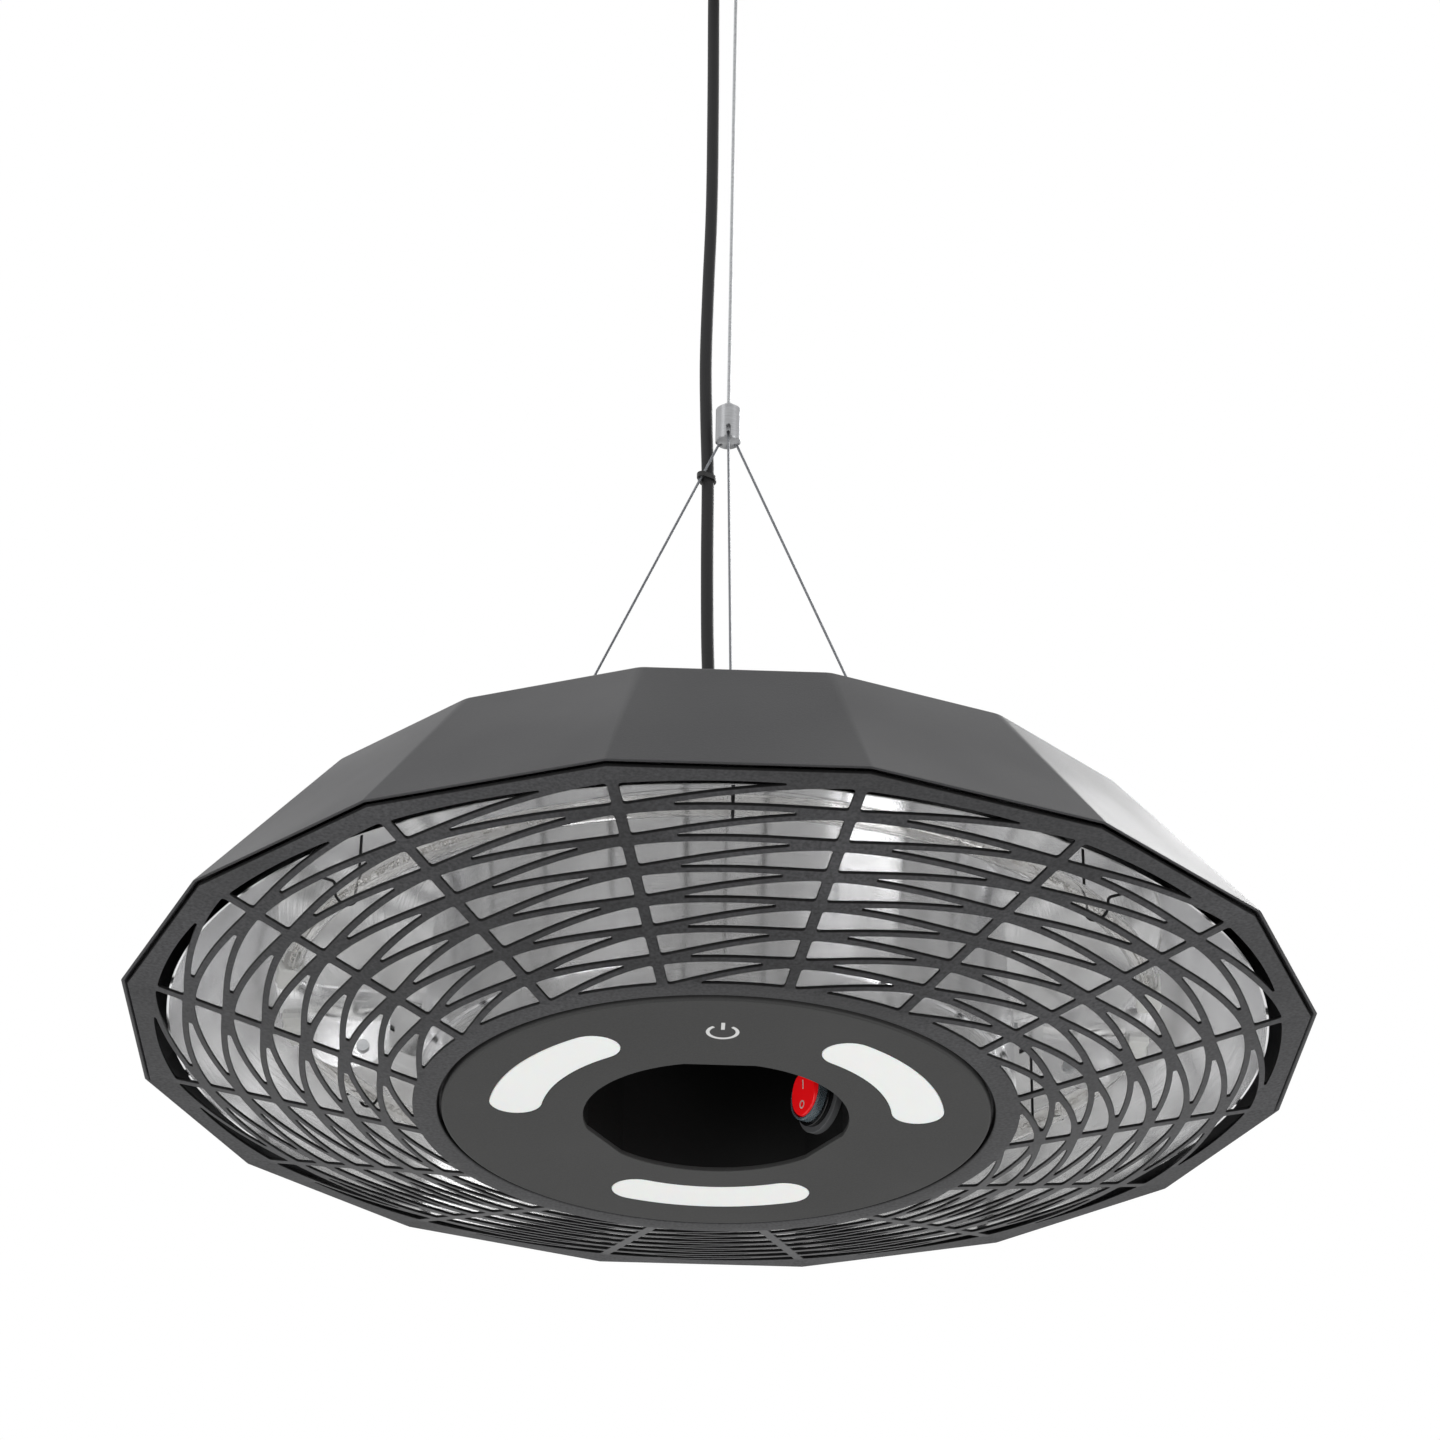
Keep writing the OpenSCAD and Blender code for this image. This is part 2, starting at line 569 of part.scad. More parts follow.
// Switch frame: +x runs out along the switch's axis, from the well's middle
module in_switch() translate([0, 0, switch_z]) rotate(switch_dir) rotate([switch_turn, 0, 0])
  children();
module along_x(x, r, l) translate([x, 0, 0]) rotate([0, 90, 0]) cylinder(r = r, h = l);
module switch_boss() color("#6d6e70") heater() difference() {
  intersection() {
    in_switch() along_x(wall_face - boss_h, boss_r, boss_h + 3);
    translate([0, 0, -plate_z]) linear_extrude(well_h) well_outline(well_r, well_flat);
  }
  in_switch() along_x(wall_face - boss_h - 1, barrel_r + slide, boss_h + 8);
}
module switch_body() color("#242424") heater() in_switch() difference() {
  union() {
    along_x(bezel_x - collar_h, pocket_r + collar_wall, collar_h + 1);
    along_x(bezel_x, bezel_r, bezel_h);
    along_x(bezel_x + bezel_h - e, barrel_r, barrel_l);
    for (y = [-5, 0, 5]) translate([bezel_x + bezel_h + barrel_l - 1, y - 0.4, -2.4])
      cube([9, 0.8, 4.8]);
  }
  along_x(bezel_x - collar_h - 1, pocket_r, collar_h + bezel_h + 0.4);
  translate([pivot_x, 0, 0]) rotate([90, 0, 0])
    cylinder(r = pin_r + slide, h = 2 * pocket_r + 1.9, center = true);
}
module switch_seal() color("#7d8a92", 0.7) heater() in_switch() difference() {
  union() {
    along_x(bezel_x - collar_h, pocket_r + collar_wall + slide + seal_t, collar_h);
    along_x(bezel_x - collar_h - 0.8, pocket_r + collar_wall + 0.4, 0.8 + e);
  }
  along_x(bezel_x - collar_h - 2, pocket_r + 0.3, collar_h + 3);
  along_x(bezel_x - collar_h, pocket_r + collar_wall + slide, collar_h + 3);
}
module switch_rocker() color("#d8141a") heater() in_switch()
  translate([pivot_x, 0, 0]) rotate([0, -rocker_tilt, 0]) {
    difference() {
      intersection() {
        rotate([90, 0, 0]) sphere(r = rocker_r);
        translate([-rocker_face, -20, -20]) cube([rocker_face + rocker_back, 40, 40]);
      }
      translate([-rocker_face - face_hollow_r + 0.6, 0, 0]) rotate([90, 0, 0])
        cylinder(r = face_hollow_r, h = 40, center = true);
    }
    rotate([90, 0, 0]) cylinder(r = pin_r, h = 2 * pocket_r + 1.7, center = true);
  }

// Leg frame: +z runs up a leg wire from its anchor
module along_leg(a) rotate(a) translate([leg_low[0], 0, leg_low[1]]) rotate([0, -leg_lean, 0])
  children();
module wire_anchors() color("#2f2f30") heater() for (a = leg_dirs) difference() {
  union() {
    rotate(a) translate([anchor_r, 0, shade_h]) cylinder(r = 6, h = anchor_foot);
    rotate(a) translate([anchor_r, 0, deck_under - 7]) cylinder(r = stud_r, h = shade_wall + 8);
    intersection() {
      along_leg(a) translate([0, 0, -4]) cylinder(r = 3.5, h = barrel_len + 4);
      rotate(a) translate([anchor_r, 0, shade_h + 0.5]) cylinder(r = 40, h = 40);
    }
  }
  along_leg(a) translate([0, 0, 4]) cylinder(r = wire_d / 2 + slide, h = 40);
}
module anchor_nuts() color("silver") heater() for (a = leg_dirs) rotate(a)
  translate([anchor_r, 0, 0]) difference() {
    translate([0, 0, deck_under - 3.2]) cylinder(r = 4.2, h = 3.2, $fn = 6);
    translate([0, 0, deck_under - 9]) cylinder(r = stud_r + slide, h = 12, $fn = 32);
  }
module leg_wire(i) color("#8d8f91") heater() along_leg(leg_dirs[i])
  translate([0, 0, 4]) cylinder(r = wire_d / 2, h = leg_run - 4, $fn = 24);
module leg_wire_1() leg_wire(0);
module leg_wire_2() leg_wire(1);
module leg_wire_3() leg_wire(2);
gripper_top = gripper_z + gripper_h;
plunger_low = gripper_top + plunger_out - plunger_l;
module gripper_body() color("#c9cbcd") heater() difference() {
  translate([0, 0, gripper_z]) rotate_extrude() polygon([
    [0, 0], [gripper_d / 2 - 0.6, 0], [gripper_d / 2, 0.6], [gripper_d / 2, gripper_h - 0.6],
    [gripper_d / 2 - 0.6, gripper_h], [0, gripper_h]]);
  translate([0, 0, rope_end]) cylinder(r = rope_d / 2 + slide, h = gripper_h);
  translate([0, 0, plunger_low - plunger_travel - 0.1])
    cylinder(r = plunger_r + slide, h = plunger_l + 5);
  for (a = leg_dirs) {
    rotate(a) block(slot_in, gripper_d, -slot_half, slot_half, gripper_z - 1, gripper_z + slot_h);
    rotate(a) translate([slot_in, 0, gripper_z + slot_h]) rotate([0, 90, 0])
      cylinder(r = slot_half + 0.1, h = gripper_d, $fn = 32);
    along_leg(a) translate([0, 0, leg_run - 20]) cylinder(r = wire_d / 2 + slide, h = 20);
  }
}
module gripper_plunger() color("#9ea0a2") heater() difference() {
  translate([0, 0, plunger_low]) cylinder(r = plunger_r, h = plunger_l);
  translate([0, 0, plunger_low - 1]) cylinder(r = rope_d / 2 + slide, h = plunger_l + 2);
}
module main_rope() color("#8d8f91") translate([0, 0, rope_end - drop])
  cylinder(r = rope_d / 2, h = drop - rope_end - cup_h - 3, $fn = 24);

module housing_gland() color("#1b1b1b") heater() translate([gland_xy[0], gland_xy[1], shade_h])
  difference() {
    union() {
      translate([0, 0, -9]) cylinder(r = 6, h = 12);
      cylinder(r = 9.5, h = 6, $fn = 6);
      translate([0, 0, 6 - e]) cylinder(r1 = 7.5, r2 = 5.6, h = 9);
    }
    translate([0, 0, -10]) cylinder(r = cord_d / 2 + 0.1, h = 30);
  }
module gland_nut() color("#1b1b1b") heater() translate([gland_xy[0], gland_xy[1], deck_under])
  difference() {
    translate([0, 0, -4]) cylinder(r = 10, h = 4, $fn = 6);
    translate([0, 0, -5]) cylinder(r = 6 + slide, h = 6);
  }
// Smooth path through the route's points
function pass(p, q, r, s, t) = 0.5 * (2 * q + (r - p) * t + (2 * p - 5 * q + 4 * r - s) * t * t
  + (3 * q - p - 3 * r + s) * t * t * t);
function clamped(list, i) = list[min(max(i, 0), len(list) - 1)];
function cord_ring(p) = [for (j = [0:cord_sides - 1])
  [p[0] + cord_d / 2 * cos(j * 360 / cord_sides), p[1] + cord_d / 2 * sin(j * 360 / cord_sides),
   p[2]]];
cord_path = concat(
  [[ceiling_gland_xy[0], ceiling_gland_xy[1], drop - plate_th - terminal_top_h]],
  [for (i = [0:len(cord_route) - 2], k = [0:cord_steps - 1])
    pass(clamped(cord_route, i - 1), cord_route[i], cord_route[i + 1],
         clamped(cord_route, i + 2), k / cord_steps)],
  [cord_route[len(cord_route) - 1], [gland_xy[0], gland_xy[1], cord_bottom]]);
module power_cord() color("#141414") heater() loft([for (p = cord_path) cord_ring(p)]);
module cable_tie() color("#0f0f0f") heater() {
  leg_x = leg_low[0] + (leg_top[0] - leg_low[0]) * (tie_z - leg_low[1]) / (leg_top[1] - leg_low[1]);
  translate([0, 0, tie_z - tie_h / 2]) linear_extrude(tie_h) difference() {
    tie_outline(leg_x, 1.3);
    tie_outline(leg_x, 0.1);
  }
}
module tie_outline(leg_x, grow) hull() {
  translate([-10.5, 12]) circle(r = cord_d / 2 + grow, $fn = 24);
  rotate(leg_dirs[2]) translate([leg_x, 0]) circle(r = wire_d / 2 + 0.9 + grow, $fn = 24);
}

module rope_coupler() color("#c9cbcd") difference() {
  union() {
    translate([0, 0, -cup_h - coupler_h]) cylinder(r = coupler_r, h = coupler_h);
    translate([0, 0, -cup_h - 1]) cylinder(r = stud_big, h = cup_h);
  }
  translate([0, 0, -cup_h - coupler_h - 1]) cylinder(r = rope_d / 2 + slide, h = coupler_h - 2);
}
module ceiling_plate() color("#b4b6b8") difference() {
  union() {
    translate([0, 0, -plate_th]) cylinder(d = plate_d, h = plate_th);
    translate([0, 0, -plate_th - boss_len]) cylinder(r = 7, h = boss_len + e);
  }
  translate([0, 0, -plate_th - boss_len - 1]) cylinder(r = stud_big + slide, h = boss_len + 4);
  for (s = [-1, 1]) translate([s * hole_spacing / 2, 0, -plate_th - 1])
    cylinder(d = hole_d, h = plate_th + 2);
}
module ceiling_cup() color("#4f4f51") difference() {
  translate([0, 0, -cup_h]) cylinder(d = cup_d, h = cup_h);
  translate([0, 0, -cup_h + cup_wall]) cylinder(d = cup_d - 2 * cup_wall, h = cup_h);
  translate([0, 0, -cup_h - 1]) cylinder(r = stud_big + slide, h = 5);
  translate([ceiling_gland_xy[0], ceiling_gland_xy[1], -cup_h - 1])
    cylinder(r = 5 + slide, h = 5);
}
module ceiling_gland() color("#1b1b1b")
  translate([ceiling_gland_xy[0], ceiling_gland_xy[1], -cup_h]) difference() {
    union() {
      translate([0, 0, -3]) cylinder(r = 7.5, h = 3);
      translate([0, 0, -1]) cylinder(r = 5, h = 5);
    }
    translate([0, 0, -5]) cylinder(r = cord_d / 2 + 0.1, h = 12);
  }
module ceiling_terminal() color("#d8d2c0")
  block(ceiling_gland_xy[0] - 12, ceiling_gland_xy[0] + 5, ceiling_gland_xy[1] - 8,
        ceiling_gland_xy[1] + 8, -plate_th - terminal_top_h, -plate_th);

housing_shade();
grille();
grille_screws();
core_drum();
reflector();
reflector_inner_wall();
reflector_posts();
lamp_tube_near();
lamp_tube_far();
heating_coil_near();
heating_coil_far();
lamp_caps();
lamp_bracket_left();
lamp_bracket_right();
bracket_screws();
lamp_clips();
lower_plate();
well_tube();
control_tray();
tray_screws();
mains_terminal();
control_board();
board_spacers();
relays();
lamp_driver();
light_window_1();
light_window_2();
light_window_3();
light_board();
touch_sensor();
switch_boss();
switch_body();
switch_seal();
switch_rocker();
wire_anchors();
anchor_nuts();
leg_wire_1();
leg_wire_2();
leg_wire_3();
gripper_body();
gripper_plunger();
main_rope();
housing_gland();
gland_nut();
power_cord();
cable_tie();
rope_coupler();
ceiling_plate();
ceiling_cup();
ceiling_gland();
ceiling_terminal();
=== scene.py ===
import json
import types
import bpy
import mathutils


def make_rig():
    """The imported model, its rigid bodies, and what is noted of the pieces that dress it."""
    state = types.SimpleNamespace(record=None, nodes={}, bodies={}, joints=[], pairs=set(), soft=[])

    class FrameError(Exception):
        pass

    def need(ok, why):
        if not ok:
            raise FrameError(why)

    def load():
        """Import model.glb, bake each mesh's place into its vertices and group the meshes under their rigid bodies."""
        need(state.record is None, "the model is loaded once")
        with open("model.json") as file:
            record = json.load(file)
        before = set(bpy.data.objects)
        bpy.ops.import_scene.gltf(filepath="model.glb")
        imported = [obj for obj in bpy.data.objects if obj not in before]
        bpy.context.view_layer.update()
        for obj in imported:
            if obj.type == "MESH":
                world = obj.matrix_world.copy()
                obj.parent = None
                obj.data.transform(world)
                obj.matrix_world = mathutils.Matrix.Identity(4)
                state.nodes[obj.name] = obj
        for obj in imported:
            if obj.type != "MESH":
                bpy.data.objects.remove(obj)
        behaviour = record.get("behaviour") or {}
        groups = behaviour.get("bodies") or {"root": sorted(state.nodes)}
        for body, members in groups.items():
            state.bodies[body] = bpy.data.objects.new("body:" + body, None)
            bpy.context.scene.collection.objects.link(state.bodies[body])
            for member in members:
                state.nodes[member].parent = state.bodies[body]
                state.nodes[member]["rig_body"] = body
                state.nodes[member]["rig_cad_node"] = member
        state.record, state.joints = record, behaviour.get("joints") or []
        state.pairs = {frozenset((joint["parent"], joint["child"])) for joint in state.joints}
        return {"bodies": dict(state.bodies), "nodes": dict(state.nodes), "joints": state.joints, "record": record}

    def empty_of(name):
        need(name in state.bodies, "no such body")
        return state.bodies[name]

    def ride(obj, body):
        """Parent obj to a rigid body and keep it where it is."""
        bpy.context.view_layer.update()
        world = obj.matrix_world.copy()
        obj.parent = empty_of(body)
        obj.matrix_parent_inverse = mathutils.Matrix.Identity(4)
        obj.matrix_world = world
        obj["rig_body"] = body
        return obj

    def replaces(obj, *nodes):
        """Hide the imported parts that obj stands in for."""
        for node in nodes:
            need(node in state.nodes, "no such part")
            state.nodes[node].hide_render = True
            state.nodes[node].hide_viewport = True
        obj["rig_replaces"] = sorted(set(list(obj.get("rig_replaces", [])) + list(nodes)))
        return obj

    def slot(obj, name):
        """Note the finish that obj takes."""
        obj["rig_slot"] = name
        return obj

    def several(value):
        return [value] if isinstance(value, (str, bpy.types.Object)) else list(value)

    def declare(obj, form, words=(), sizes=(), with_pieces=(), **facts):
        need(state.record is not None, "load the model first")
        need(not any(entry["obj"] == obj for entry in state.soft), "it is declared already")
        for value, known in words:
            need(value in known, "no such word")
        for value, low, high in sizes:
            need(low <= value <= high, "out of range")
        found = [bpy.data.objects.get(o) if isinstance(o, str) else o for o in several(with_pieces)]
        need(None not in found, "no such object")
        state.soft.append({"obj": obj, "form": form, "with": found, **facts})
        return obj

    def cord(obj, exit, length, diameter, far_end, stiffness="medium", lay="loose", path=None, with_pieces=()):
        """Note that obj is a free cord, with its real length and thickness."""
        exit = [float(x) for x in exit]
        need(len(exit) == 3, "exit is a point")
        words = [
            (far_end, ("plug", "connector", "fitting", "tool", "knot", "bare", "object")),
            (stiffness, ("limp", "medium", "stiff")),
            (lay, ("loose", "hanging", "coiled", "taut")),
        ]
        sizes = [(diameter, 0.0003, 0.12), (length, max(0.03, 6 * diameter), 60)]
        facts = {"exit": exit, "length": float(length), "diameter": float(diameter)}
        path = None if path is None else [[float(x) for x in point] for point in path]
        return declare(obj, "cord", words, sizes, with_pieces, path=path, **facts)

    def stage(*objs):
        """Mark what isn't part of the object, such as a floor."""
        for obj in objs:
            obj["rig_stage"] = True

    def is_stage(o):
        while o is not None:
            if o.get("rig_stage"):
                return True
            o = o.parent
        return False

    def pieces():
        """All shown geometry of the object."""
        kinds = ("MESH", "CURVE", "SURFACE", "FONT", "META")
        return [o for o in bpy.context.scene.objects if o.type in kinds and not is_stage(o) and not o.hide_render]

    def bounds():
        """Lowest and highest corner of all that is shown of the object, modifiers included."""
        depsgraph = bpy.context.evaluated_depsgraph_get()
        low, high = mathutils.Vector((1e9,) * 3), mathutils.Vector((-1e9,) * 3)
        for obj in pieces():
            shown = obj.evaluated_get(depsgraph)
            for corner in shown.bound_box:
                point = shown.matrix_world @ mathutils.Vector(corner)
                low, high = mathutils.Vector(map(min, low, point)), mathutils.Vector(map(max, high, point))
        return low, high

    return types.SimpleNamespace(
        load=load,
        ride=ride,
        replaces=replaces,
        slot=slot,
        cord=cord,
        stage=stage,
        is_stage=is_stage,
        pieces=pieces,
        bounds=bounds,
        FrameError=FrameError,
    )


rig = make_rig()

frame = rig.load()

import json
from contextlib import contextmanager
from math import acos, asin, atan2, cos, hypot, pi, radians, sin, sqrt, tan

import bmesh
import bpy
from bpy.props import FloatProperty, FloatVectorProperty, IntProperty, PointerProperty
from mathutils import Matrix, Vector, geometry

bl_info = {
    "name": "Ceiling infrared heater",
    "version": (1, 0, 0),
    "blender": (4, 5, 0),
    "location": "3D View > Sidebar > Heater",
    "description": "Builds the finished pieces of a hanging infrared heater round its CAD part",
    "category": "Object",
}

# The heater is drawn in millimetres from the lower edge of its shade, as in the CAD part,
# and lowered by the drop when a piece is made.
MM = 0.001
DROP = 770.0
SIDES = 16
SECTOR = 2 * pi / SIDES
HALF = SECTOR / 2
CAD_BOX = [list(corner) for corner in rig.bounds()]
FLOOR = -2.6  # height of the studio floor, in metres


def linear(code):
    """A colour written as sRGB hex, as linear red, green and blue."""
    parts = [int(code[i : i + 2], 16) / 255 for i in (1, 3, 5)]
    return [c / 12.92 if c <= 0.04045 else ((c + 0.055) / 1.055) ** 2.4 for c in parts]


def length(name, description, millimetres):
    """A size property in metres, with its default given in millimetres."""
    return FloatProperty(name=name, description=description, default=millimetres * MM, min=0.0,
                         precision=5, subtype="DISTANCE", unit="LENGTH")


def colour(name, description, code):
    """A colour property with its default given as sRGB hex."""
    return FloatVectorProperty(name=name, description=description, default=linear(code), size=3,
                               min=0.0, max=1.0, subtype="COLOR")


class HeaterBodySettings(bpy.types.PropertyGroup):
    """Sizes and colours of the pressed sheet pieces."""

    shade_colour: colour("Shade coat", "Powder coat of the shade", "#39393b")
    grille_colour: colour("Grille coat", "Powder coat of the grille", "#3b3b3d")
    plate_colour: colour("Plate coat", "Powder coat of the lower plate", "#393939")
    window_colour: colour("Window", "Opal plastic of the light windows", "#fbfbfa")
    print_colour: colour("Print", "Ink of the printed power sign", "#d9d9d9")
    sheet_edge: length("Sheet edge", "Rounding of the punched sheet edges", 0.25)
    grain: length("Coat grain", "Size of the powder coat's grain", 0.9)


class HeaterLampSettings(bpy.types.PropertyGroup):
    """Sizes and colours of the lamps and their fittings."""

    coil_pitch: length("Coil pitch", "Mean distance between the coil's turns", 3.4)
    coil_wire: length("Coil wire", "Diameter of the heating wire", 0.55)
    aluminium: colour("Reflector", "Rolled aluminium of the reflector", "#f3f3f4")
    coil_colour: colour("Coil", "Bare heating wire", "#d6d4d1")
    ceramic: colour("Caps", "Ceramic of the end caps", "#f5f5f3")


class HeaterSwitchSettings(bpy.types.PropertyGroup):
    """Colours of the switch."""

    rocker_colour: colour("Rocker", "Moulded red of the rocker", "#f0141a")
    boss_colour: colour("Boss", "Moulded grey of the boss", "#58595b")
    boot_colour: colour("Boot", "Tint of the clear boot", "#93a3ad")


class HeaterHangingSettings(bpy.types.PropertyGroup):
    """Sizes and colours of the suspension and the cord."""

    rope_lay: length("Rope lay", "Length of one turn of the main rope's strands", 13)
    wire_lay: length("Wire lay", "Length of one turn of the leg wires' strands", 9)
    rope_colour: colour("Rope", "Galvanised steel of the main rope", "#c6c8ca")
    wire_colour: colour("Leg wires", "Steel of the leg wires", "#8a8c90")
    cord_colour: colour("Cord", "Rubber of the power cord", "#252526")
    strands: IntProperty(name="Strands", description="Outer strands of each rope", default=6)


# ---- materials -------------------------------------------------------------------------
# A pattern's scale is in noise cells for each metre of the surface.


def add(tree, kind, inputs=None, stops=(), **settings):
    """Adds a node with its settings and, on a ramp, its stops. Sets each input, or links it
    to a socket or to another node's first output."""
    node = tree.nodes.new(kind)
    for field, value in settings.items():
        setattr(node, field, value)
    for i, (place, value) in enumerate(stops):
        node.color_ramp.elements[i].position = place
        node.color_ramp.elements[i].color = value
    for socket, value in (inputs or {}).items():
        if isinstance(value, bpy.types.Node):
            value = value.outputs[0]
        if isinstance(value, bpy.types.NodeSocket):
            tree.links.new(value, node.inputs[socket])
        else:
            node.inputs[socket].default_value = value
    return node


def rgba(value):
    """A colour or a grey with full cover."""
    return (*value[:3], 1.0) if hasattr(value, "__len__") else (value, value, value, 1.0)


def scaled(values, share):
    """A colour made lighter or darker."""
    return [min(1.0, v * share) for v in values]


def ends(low, high, places=(0.3, 0.7)):
    """The two stops of a ramp between greys or colours."""
    return [(place, rgba(value)) for place, value in zip(places, (low, high))]


def blank(name):
    """A new material and its empty tree."""
    made = bpy.data.materials.new(name)
    made.use_nodes = True
    made.node_tree.nodes.clear()
    return made, made.node_tree


def surfaced(made, height, relief, surface):
    """Ends a material in one Principled surface that a pattern raises, by the relief's
    distance in metres and its strength."""
    tree = made.node_tree
    bump = add(tree, "ShaderNodeBump",
               {"Height": height, "Distance": relief[0], "Strength": relief[1]})
    shader = add(tree, "ShaderNodeBsdfPrincipled", {**surface, "Normal": bump})
    add(tree, "ShaderNodeOutputMaterial", {"Surface": shader})
    return made


def grained(name, values, scale, detail, shares, relief, surface, rough=None,
            places=(0.3, 0.7), lines=None):
    """A material under one noise: its colour runs between two shares of the values, and its
    roughness between two numbers. Lines that follow a direction have their own coordinates."""
    made, tree = blank(name)
    place = lines(tree) if lines else add(tree, "ShaderNodeTexCoord").outputs["Object"]
    noise = add(tree, "ShaderNodeTexNoise", {"Vector": place, "Scale": scale, "Detail": detail})
    values = linear(values) if isinstance(values, str) else values
    tint = ends(scaled(values, shares[0]), scaled(values, shares[1]), places)
    surface = {**surface, "Base Color": add(tree, "ShaderNodeValToRGB", {"Fac": noise}, tint)}
    if rough:
        surface["Roughness"] = add(tree, "ShaderNodeValToRGB", {"Fac": noise}, ends(*rough))
    return surfaced(made, noise, relief, surface)


def powder_coat(name, values, grain, roughness=0.5, cut=1.0, fleck=0.14):
    """Baked powder coat on sheet: an even colour with a fine orange-peel grain that breaks
    up its soft sheen. The real grain is about 0.4 mm and is drawn at least twice as coarse.
    Upright edges, such as the slot walls, get painted shade: their colour is multiplied down
    to the share cut. The attribute "level" is 1 on the sheet's faces and 0 on its upright edges."""
    made, tree = blank(name)
    place = add(tree, "ShaderNodeTexCoord").outputs["Object"]
    grains = add(tree, "ShaderNodeTexNoise",
                 {"Vector": place, "Scale": 1 / grain, "Detail": 2.0, "Roughness": 0.55})
    cloud = add(tree, "ShaderNodeTexNoise", {"Vector": place, "Scale": 9.0, "Detail": 3.0})
    mixed = add(tree, "ShaderNodeMath", {0: grains, 1: cloud}, operation="MULTIPLY")
    tint = add(tree, "ShaderNodeValToRGB", {"Fac": mixed},
               ends(scaled(values, 1 - fleck), scaled(values, 1 + fleck), (0.12, 0.42)))
    # painted shade: upright edges are darkened to the share cut of the coat's colour
    if cut < 1.0:
        level = add(tree, "ShaderNodeAttribute", attribute_name="level").outputs["Fac"]
        share = add(tree, "ShaderNodeValToRGB", {"Fac": level}, ends(cut, 1.0, (0.6, 0.96)))
        tint = add(tree, "ShaderNodeMix", {0: 1.0, 6: tint, 7: share}, data_type="RGBA",
                   blend_type="MULTIPLY").outputs[2]
    rough = add(tree, "ShaderNodeValToRGB", {"Fac": cloud},
                ends(roughness - 0.05, roughness + 0.06))
    return surfaced(made, grains, (0.00012, 0.6),
                    {"Base Color": tint, "Roughness": rough, "Specular IOR Level": 0.22})


def round_axis(tree):
    """Coordinates for lines that run round the axis: the radius, a slow share of the angle,
    so that a line fades along its run as real ones do, and the height."""
    place = add(tree, "ShaderNodeTexCoord").outputs["Object"]
    part = add(tree, "ShaderNodeSeparateXYZ", {"Vector": place}).outputs
    square = add(tree, "ShaderNodeMath", {0: part["X"], 1: part["X"]}, operation="MULTIPLY")
    square = add(tree, "ShaderNodeMath", {0: part["Y"], 1: part["Y"], 2: square},
                 operation="MULTIPLY_ADD")
    radius = add(tree, "ShaderNodeMath", {0: square}, operation="SQRT")
    turn = add(tree, "ShaderNodeMath", {0: part["Y"], 1: part["X"]}, operation="ARCTAN2")
    slow = add(tree, "ShaderNodeMath", {0: turn, 1: 0.003}, operation="MULTIPLY")
    return add(tree, "ShaderNodeCombineXYZ", {"X": radius, "Y": slow, "Z": part["Z"]})


def along_axis(tree):
    """Coordinates for turning lines, close together along the axis and long across it."""
    place = add(tree, "ShaderNodeTexCoord").outputs["Object"]
    return add(tree, "ShaderNodeMapping", {"Vector": place, "Scale": (0.12, 0.12, 1.0)})


def rolled_aluminium(name, values, roughness=0.19):
    """Bright rolled aluminium sheet: nearly a mirror, drawn out across the fine rolling lines
    that run round the axis, about 0.5 mm apart."""
    return grained(name, values, 1900.0, 3.0, (0.88, 1.0), (0.000004, 0.3),
                   {"Metallic": 1.0, "Anisotropic": 1.0, "Anisotropic Rotation": 0.25},
                   (roughness + 0.05, roughness - 0.03), (0.35, 0.6), round_axis)


def plain_metal(name, values, roughness=0.32, line=0.0006, turned=0.0):
    """Machined or plated steel: a clean metal colour with faint turning lines, which draw
    reflections out along the axis by the share turned."""
    return grained(name, values, 1 / line, 3.0, (0.85, 1.0), (0.00001, 0.5),
                   {"Metallic": 1.0, "Anisotropic": turned, "Anisotropic Rotation": 0.25},
                   (roughness + 0.08, roughness - 0.06), lines=along_axis)


def moulded(name, values, roughness=0.45, grain=0.0007, **surface):
    """Injection-moulded plastic: an even colour under a fine spark-eroded grain."""
    return grained(name, values, 1 / grain, 2.0, (0.93, 1.05), (0.00004, 0.4), surface,
                   (roughness - 0.05, roughness + 0.07))


def quartz_glass():
    """Drawn fused quartz: clear, with faint length-wise draw lines about 1 mm apart that
    catch the light."""
    made, tree = blank("Drawn quartz glass")
    lines = add(tree, "ShaderNodeTexNoise",
                {"Vector": round_axis(tree), "Scale": 900.0, "Detail": 1.0})
    return surfaced(made, lines, (0.00003, 0.3), {
        "Base Color": (0.985, 0.98, 0.97, 1.0), "Roughness": 0.03, "IOR": 1.458,
        "Transmission Weight": 1.0})


def pressed_ceramic(values):
    """Pressed steatite: chalky white with faint grey specks of 1 mm and a dry surface."""
    return grained("Pressed steatite", values, 900.0, 4.0, (0.92, 1.0), (0.00004, 0.4),
                   {"Roughness": 0.58}, places=(0.28, 0.42))


def opal_window(values):
    """Frosted opal acrylic: even white that lets a little light into its surface, under a
    frost of 0.6 mm, drawn coarser than the real one so that it shows."""
    return grained("Frosted opal acrylic", values, 1600.0, 2.0, (0.97, 1.0), (0.00003, 0.4),
                   {"Subsurface Weight": 0.25, "Subsurface Scale": 0.004, "IOR": 1.49},
                   (0.52, 0.64))


def clear_silicone(values):
    """Clear silicone boot: smoky and soft, with light passing through its thin wall and a
    haze in patches of 4 mm."""
    return grained("Clear silicone boot", values, 260.0, 2.0, (0.85, 1.0), (0.00004, 0.4),
                   {"Transmission Weight": 0.7, "IOR": 1.41, "Roughness": 0.14})


